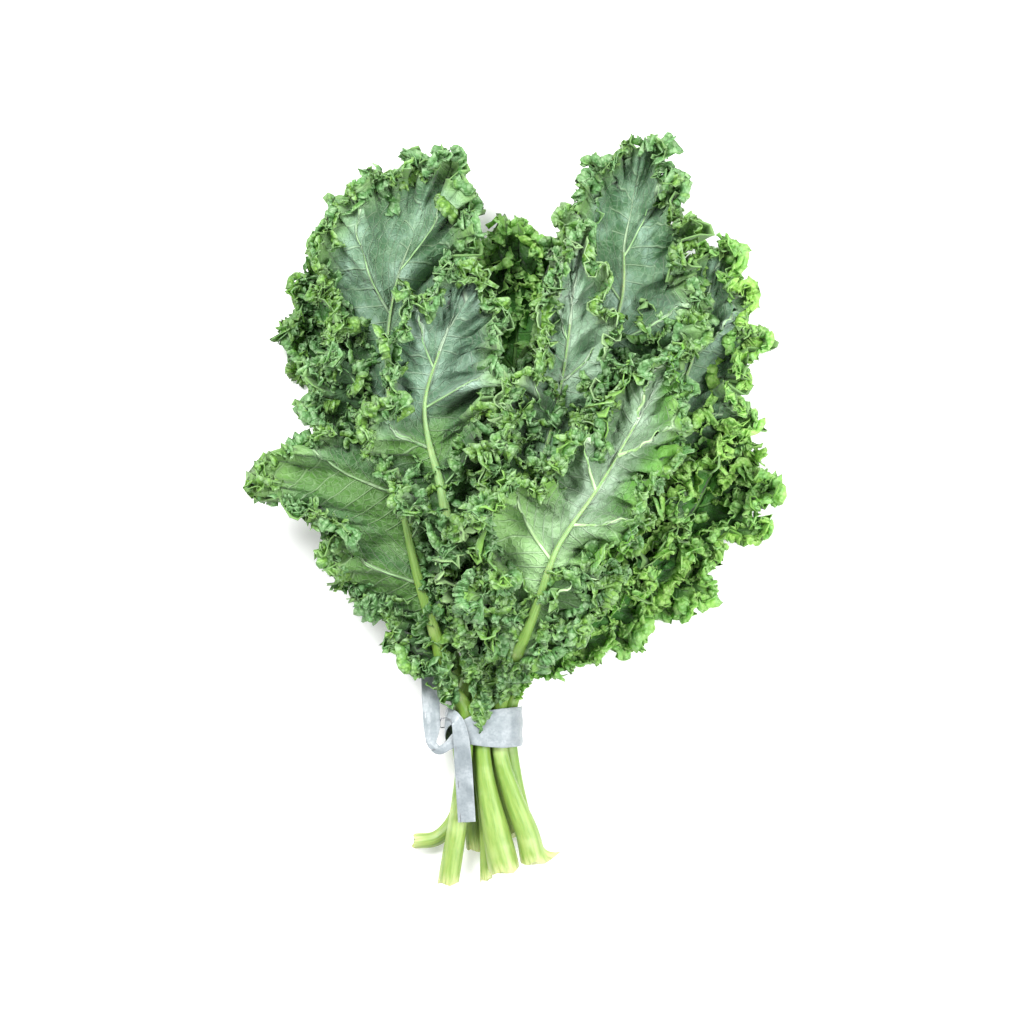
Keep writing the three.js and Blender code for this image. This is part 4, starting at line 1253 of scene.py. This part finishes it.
def leaf_paint(name, under, panel, deep, edge, vein, bloom, warm, bright_half=None):
    p = Paint(name)
    place = p.place()
    lobe_place, out = p.parts(p.map("veins"))
    t, s = p.parts(p.map("blade"))
    zone, right_half = p.parts(p.map("zone"))
    wobble = p.node("VectorMath", operation="MULTIPLY_ADD")
    shift = p.node("TexNoise", inputs={"Vector": place, "Scale": 90.0}).outputs["Color"]
    for socket, value in zip(wobble.inputs, (shift, (0.004, 0.004, 0.004), place)):
        p.feed(socket, value)
    wobbly = wobble.outputs[0]
    mask, off, beside = vein_mask(p, wobbly, lobe_place, out, s)
    # Clouds of the deeper colour and of bloom, and a warmer part near the stalk
    fine = p.noise(place, 260.0, 4.0)
    colour = p.blend(p.ramp(p.noise(place, 28.0), 0.35, 0.65), panel, deep)
    colour = p.blend(p.ramp(p.noise(place, 60.0), 0.45, 0.75, 0.0, 0.55), colour, bloom)
    colour = p.blend(p.ramp(fine, 0.3, 0.7, 0.0, 0.25), colour, deep)
    low_part = p.ramp(p.sum("ADD", t, p.times(p.noise(place, 18.0), 0.5)), 0.85, 0.62)
    colour = p.blend(low_part, colour, warm)
    # Painted shade down in the sag between two side veins and on the unlit side of each vein
    sag = p.times(p.ramp(beside, 9.0, 21.0), p.ramp(s, 0.1, 0.5, 0.0, 0.65))
    flank = p.times(p.ramp(off, 0.8, 5.0), p.ramp(off, 5.0, 15.0, 1.0, 0.0))
    colour = p.blend(sag, colour, deep)
    colour = p.blend(p.times(flank, 0.6), colour, deep)
    colour = p.blend(p.ramp(s, 0.6, 1.0, 0.0, 0.8), colour, edge)
    colour = p.blend(p.times(mask, 0.6 if under else 0.4), colour, vein)
    if bright_half:
        colour = p.blend(p.sum("SUBTRACT", p.ramp(s, 0.1, 0.7, 0.22, 0.0), zone), colour, bloom)
        # The light comes through this half of the leaf, past its ribs
        glow = p.times(right_half, p.ramp(t, 0.36, 0.44, 0.0, 0.6))
        glow = p.times(glow, p.times(p.ramp(s, 0.2, 0.7), p.ramp(beside, 3.0, 14.0, 0.3, 1.0)))
        colour = p.blend(glow, colour, bright_half)
    # Painted shade on the blade beneath the frills, with less of it towards the margin
    colour = p.blend(p.times(zone, p.ramp(s, 0.7, 1.0, 0.85, 0.2)), colour, SHADE_UNDER_FRILLS)
    quilt = p.node("TexVoronoi", feature="SMOOTH_F1", inputs={"Vector": wobbly, "Scale": 170.0})
    height = p.times(mask, 1.0 if under else -0.8)
    height = p.sum("ADD", height, p.times(quilt.outputs["Distance"], 1.4 if under else -1.4))
    height = p.sum("ADD", height, p.times(fine, 0.5))
    normal = p.bump(0.9, 0.0018, height)
    skin = p.skin(Base_Color=colour, Roughness=p.ramp(fine, 0.2, 0.8, 0.42, 0.6), Normal=normal,
                  Specular_IOR_Level=0.45, Sheen_Weight=0.12, Sheen_Roughness=0.5)
    return p.leafy(skin, colour, srgb(150, 200, 40), 0.6, 0.18, normal)


def frill_paint(name, base, face, bright, edge):
    p = Paint(name)
    place = p.place()
    tone, v = p.parts(p.map("blade"))
    # Painted shade at the foot of each frill, where the frills crowd, fading up to the frill's own lighter
    # green
    colour = p.blend(p.ramp(v, 0.0, 0.55), base, face)
    # Yellow-green pockets and deeper clusters
    colour = p.blend(p.ramp(p.noise(place, 34.0), 0.5, 0.7, 0.0, 0.6), colour, base)
    lit = p.sum("ADD", p.times(tone, 0.3), p.times(p.noise(place, 80.0), 0.7))
    colour = p.blend(p.ramp(lit, 0.42, 0.62, 0.0, 0.75), colour, bright)
    # Small curls, with painted shade where they meet and some curls paler than others
    curls = p.node("TexVoronoi", inputs={"Vector": place, "Scale": 460.0})
    own, _ = p.parts(curls.outputs["Color"])
    colour = p.blend(p.ramp(curls.outputs["Distance"], 0.3, 0.75, 0.0, 0.6), colour, base)
    colour = p.blend(p.ramp(own, 0.55, 1.0, 0.0, 0.55), colour, edge)
    colour = p.blend(p.ramp(v, 0.7, 1.0, 0.0, 0.25), colour, edge)
    run, _ = p.parts(p.map("veins"))
    turns = p.sum("ADD", p.times(run, TURN / 2.1), p.times(p.noise(place, 130.0), 9.0))
    crimp = p.times(p.sum("SINE", turns), p.times(v, 0.5))
    height = p.sum("SUBTRACT", p.sum("ADD", crimp, p.noise(place, 380.0, 2.0)), curls.outputs["Distance"])
    normal = p.bump(0.8, 0.001, height)
    skin = p.skin(Base_Color=colour, Roughness=0.42, Normal=normal, Specular_IOR_Level=0.5)
    return p.leafy(skin, colour, srgb(160, 215, 30), 0.5, 0.4, normal)


def stalk_paint():
    p = Paint("stalk skin")
    place = p.place()
    veins = p.map("veins")
    _, from_cut = p.parts(veins)
    share, _ = p.parts(p.map("blade"))
    stretched = p.node("VectorMath", operation="MULTIPLY", inputs={0: veins, 1: (14.0, 0.05, 1.0)})
    stretched = stretched.outputs[0]
    fibre = p.noise(stretched, 1.0, 4.0)
    colour = p.blend(p.ramp(share, 0.0, 0.25), srgb(146, 170, 88), srgb(118, 152, 60))
    colour = p.blend(p.ramp(share, 0.35, 0.8), colour, srgb(146, 182, 122))
    colour = p.blend(p.ramp(fibre, 0.35, 0.7, 0.0, 0.65), colour, srgb(88, 128, 42))
    colour = p.blend(p.ramp(p.noise(place, 55.0), 0.5, 0.8, 0.0, 0.4), colour, srgb(196, 210, 150))
    # Torn, drier fibres at the cut
    torn = p.ramp(p.sum("ADD", from_cut, p.times(fibre, 16.0)), 7.0, 14.0, 0.8, 0.0)
    shreds = p.ramp(p.noise(stretched, 3.0, 4.0), 0.5, 0.62)
    colour = p.blend(torn, colour, srgb(182, 190, 130))
    colour = p.blend(p.times(torn, p.times(shreds, 0.8)), colour, srgb(112, 126, 56))
    return p.finish(p.skin(Base_Color=colour, Roughness=0.42, Normal=p.bump(0.7, 0.0008, fibre),
                           Specular_IOR_Level=0.5, Subsurface_Weight=0.12, Subsurface_Scale=0.003))


def cut_paint():
    p = Paint("cut stalk end")
    place = p.place()
    colour = p.blend(p.ramp(p.noise(place, 700.0), 0.4, 0.65), srgb(222, 228, 176), srgb(176, 190, 112))
    colour = p.blend(p.ramp(p.noise(place, 160.0), 0.5, 0.75, 0.0, 0.5), colour, srgb(190, 180, 120))
    normal = p.bump(0.6, 0.0008, p.noise(place, 900.0))
    return p.finish(p.skin(Base_Color=colour, Roughness=0.6, Normal=normal))


def tie_paint():
    p = Paint("tie paper")
    place = p.place()
    fibre = p.noise(place, 900.0, 4.0)
    soft = p.noise(place, 70.0)
    colour = p.blend(p.ramp(soft, 0.35, 0.65), srgb(148, 156, 160), srgb(123, 132, 136))
    colour = p.blend(p.ramp(fibre, 0.4, 0.7, 0.0, 0.4), colour, srgb(106, 115, 121))
    normal = p.bump(0.5, 0.0015, p.sum("ADD", p.times(soft, 2.0), p.times(fibre, 0.15)))
    return p.finish(p.skin(Base_Color=colour, Roughness=0.38, Normal=normal))


def vein_paint(name, crown, flank, patch):
    p = Paint(name)
    round_it, _ = p.parts(p.map("veins"))
    beside = p.sum("ABSOLUTE", p.sum("SUBTRACT", round_it, 0.25))
    colour = p.blend(p.ramp(beside, 0.04, 0.2), crown, flank)
    colour = p.blend(p.ramp(p.noise(p.place(), 90.0), 0.4, 0.7, 0.0, 0.5), colour, patch)
    return p.finish(p.skin(Base_Color=colour, Roughness=0.45))


def plain_paint(name, colour, rough, metal=0.0):
    p = Paint(name)
    tint = p.blend(p.ramp(p.noise(p.place(), 300.0), 0.3, 0.7, 0.0, 0.12), colour, (0.5, 0.5, 0.5, 1))
    return p.finish(p.skin(Base_Color=tint, Roughness=rough, Metallic=metal))


# Painted shade for the blade where frills stand over it
SHADE_UNDER_FRILLS = srgb(32, 72, 20)
UPPER = leaf_paint(
    "upper side green", False, panel=srgb(84, 152, 54), deep=srgb(48, 108, 34), edge=srgb(136, 192, 80),
    vein=srgb(150, 200, 110), bloom=srgb(104, 164, 86), warm=srgb(96, 166, 50))
UNDER = leaf_paint(
    "underside grey green", True, panel=srgb(124, 158, 130), deep=srgb(56, 98, 58), edge=srgb(140, 184, 104),
    vein=srgb(192, 218, 176), bloom=srgb(162, 194, 178), warm=srgb(78, 122, 52))
UNDER_BLUE = leaf_paint(
    "underside blue green", True, panel=srgb(140, 172, 150), deep=srgb(62, 104, 70),
    edge=srgb(150, 190, 122), vein=srgb(200, 222, 190), bloom=srgb(182, 210, 196), warm=srgb(92, 138, 64))
UNDER_PALE = leaf_paint(
    "underside of the front leaf", True, panel=srgb(120, 154, 114), deep=srgb(52, 98, 34),
    edge=srgb(142, 196, 84), vein=srgb(214, 234, 204), bloom=srgb(192, 216, 194), warm=srgb(136, 182, 104),
    bright_half=srgb(98, 170, 34))
# A paler copy of the underside paint: painted light for the middle leaf
UNDER_BRIGHT = leaf_paint(
    "underside of the middle leaf", True, panel=srgb(168, 198, 170), deep=srgb(88, 130, 92),
    edge=srgb(172, 208, 140), vein=srgb(212, 230, 200), bloom=srgb(200, 222, 206), warm=srgb(104, 150, 76))
RIM = plain_paint("blade margin", srgb(156, 190, 112), 0.5)
STALK = stalk_paint()
CUT_FACE = cut_paint()
TIE_PAPER = tie_paint()
VEIN = vein_paint("raised vein", srgb(150, 186, 132), srgb(106, 148, 96), srgb(116, 156, 96))
VEIN_PALE = vein_paint(
    "raised vein of the front leaf", srgb(176, 204, 156), srgb(128, 166, 106), srgb(150, 184, 120))
FRILL_PALE = frill_paint(
    "frill pale side", base=srgb(70, 122, 46), face=srgb(124, 176, 114), bright=srgb(152, 198, 84),
    edge=srgb(188, 220, 172))
FRILL_DEEP = frill_paint(
    "frill deep side", base=srgb(64, 118, 32), face=srgb(102, 166, 72), bright=srgb(148, 202, 50),
    edge=srgb(160, 206, 116))
# A brighter copy of the frill paint: painted light for the leaves that the lamps light less
FRILL_SUNNY = frill_paint(
    "frill of the right-hand leaves", base=srgb(120, 188, 66), face=srgb(170, 224, 142),
    bright=srgb(188, 234, 114), edge=srgb(196, 234, 146))
FRILL_EDGE = plain_paint("frill edge", srgb(116, 164, 84), 0.5)
UNDERSIDES = {"leaf_front_right": UNDER_PALE, "leaf_centre": UNDER_BRIGHT, "leaf_centre_left": UNDER_BLUE}


def dress_leaf(leaf):
    """The leaf as one piece: blade, stalk, frills and, on an underside, raised veins."""
    underside = UNDERSIDES.get(leaf["name"], UNDER)
    faces = (underside, UPPER) if leaf["under"] else (UPPER, underside)
    frill_sides = (FRILL_PALE, FRILL_DEEP)
    # These leaves get frills painted brighter, as painted light
    if "sunny" in leaf:
        frill_sides = (FRILL_SUNNY, FRILL_DEEP if leaf["under"] else FRILL_SUNNY)
    blade = make_blade(leaf)
    stalk = make_stalk(leaf)
    frills = make_frills(leaf)
    painted = [(blade, (*faces, RIM)), (stalk, (STALK, CUT_FACE)), (frills, (*frill_sides, FRILL_EDGE))]
    if leaf["under"]:
        painted.append((make_veins(leaf), (VEIN_PALE if "vein" in leaf else VEIN,)))
    clear_selection()
    for piece, materials in painted:
        for material in materials:
            piece.data.materials.append(material)
        piece.select_set(True)
    bpy.context.view_layer.objects.active = blade
    bpy.ops.object.join()
    blade.name = blade.data.name = leaf["name"] + "_dressed"
    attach(blade, "root")
    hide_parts(leaf["name"])


# The camera looks straight down from well above, as in the photograph
def place_camera():
    lens = bpy.data.cameras.new("camera")
    camera = bpy.data.objects.new("camera", lens)
    bpy.context.scene.collection.objects.link(camera)
    bpy.context.scene.camera = camera
    distance = 2.5
    seen = 0.512
    middle = (1.5, -0.5)
    lens.sensor_width = 36
    lens.lens = lens.sensor_width * distance / seen
    lens.clip_end = 20
    x, y = ((own + shift) * MM for own, shift in zip(middle, CENTRING))
    camera.location = (x, y, 0.05 + distance)


def light(name, place, size, power):
    lamp = bpy.data.lights.new(name, "AREA")
    lamp.shape = "DISK"
    lamp.size = size
    lamp.energy = power
    holder = bpy.data.objects.new(name, lamp)
    bpy.context.scene.collection.objects.link(holder)
    holder.location = place
    holder.rotation_euler = (-mathutils.Vector(place)).to_track_quat("-Z", "Y").to_euler()


def set_stage():
    clear_selection()
    bpy.ops.mesh.primitive_plane_add(size=6, location=(0, 0, -0.0002))
    floor = bpy.context.object
    floor.name = "floor"
    p = Paint("pale floor")
    skin = p.skin(Base_Color=(0.86, 0.86, 0.86, 1), Roughness=0.9, Specular_IOR_Level=0.0,
                  Emission_Color=(1, 1, 1, 1), Emission_Strength=0.22)
    floor.data.materials.append(p.finish(skin))
    world = bpy.data.worlds.new("studio")
    world.use_nodes = True
    sky = world.node_tree.nodes["Background"]
    sky.inputs["Color"].default_value = (1, 1, 1, 1)
    sky.inputs["Strength"].default_value = 0.6
    bpy.context.scene.world = world
    light("key light", (-0.55, 0.75, 1.2), 0.7, 33)
    light("fill light", (0.9, -0.2, 1.2), 1.2, 30)
    bpy.context.scene.view_settings.view_transform = "Standard"


place_camera()
lay_heap()
for leaf in LEAVES:
    dress_leaf(leaf)
make_tie()
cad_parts["tie_wire"].data.materials.clear()
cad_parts["tie_wire"].data.materials.append(plain_paint("tie wire", srgb(150, 152, 156), 0.35, 1.0))
set_stage()
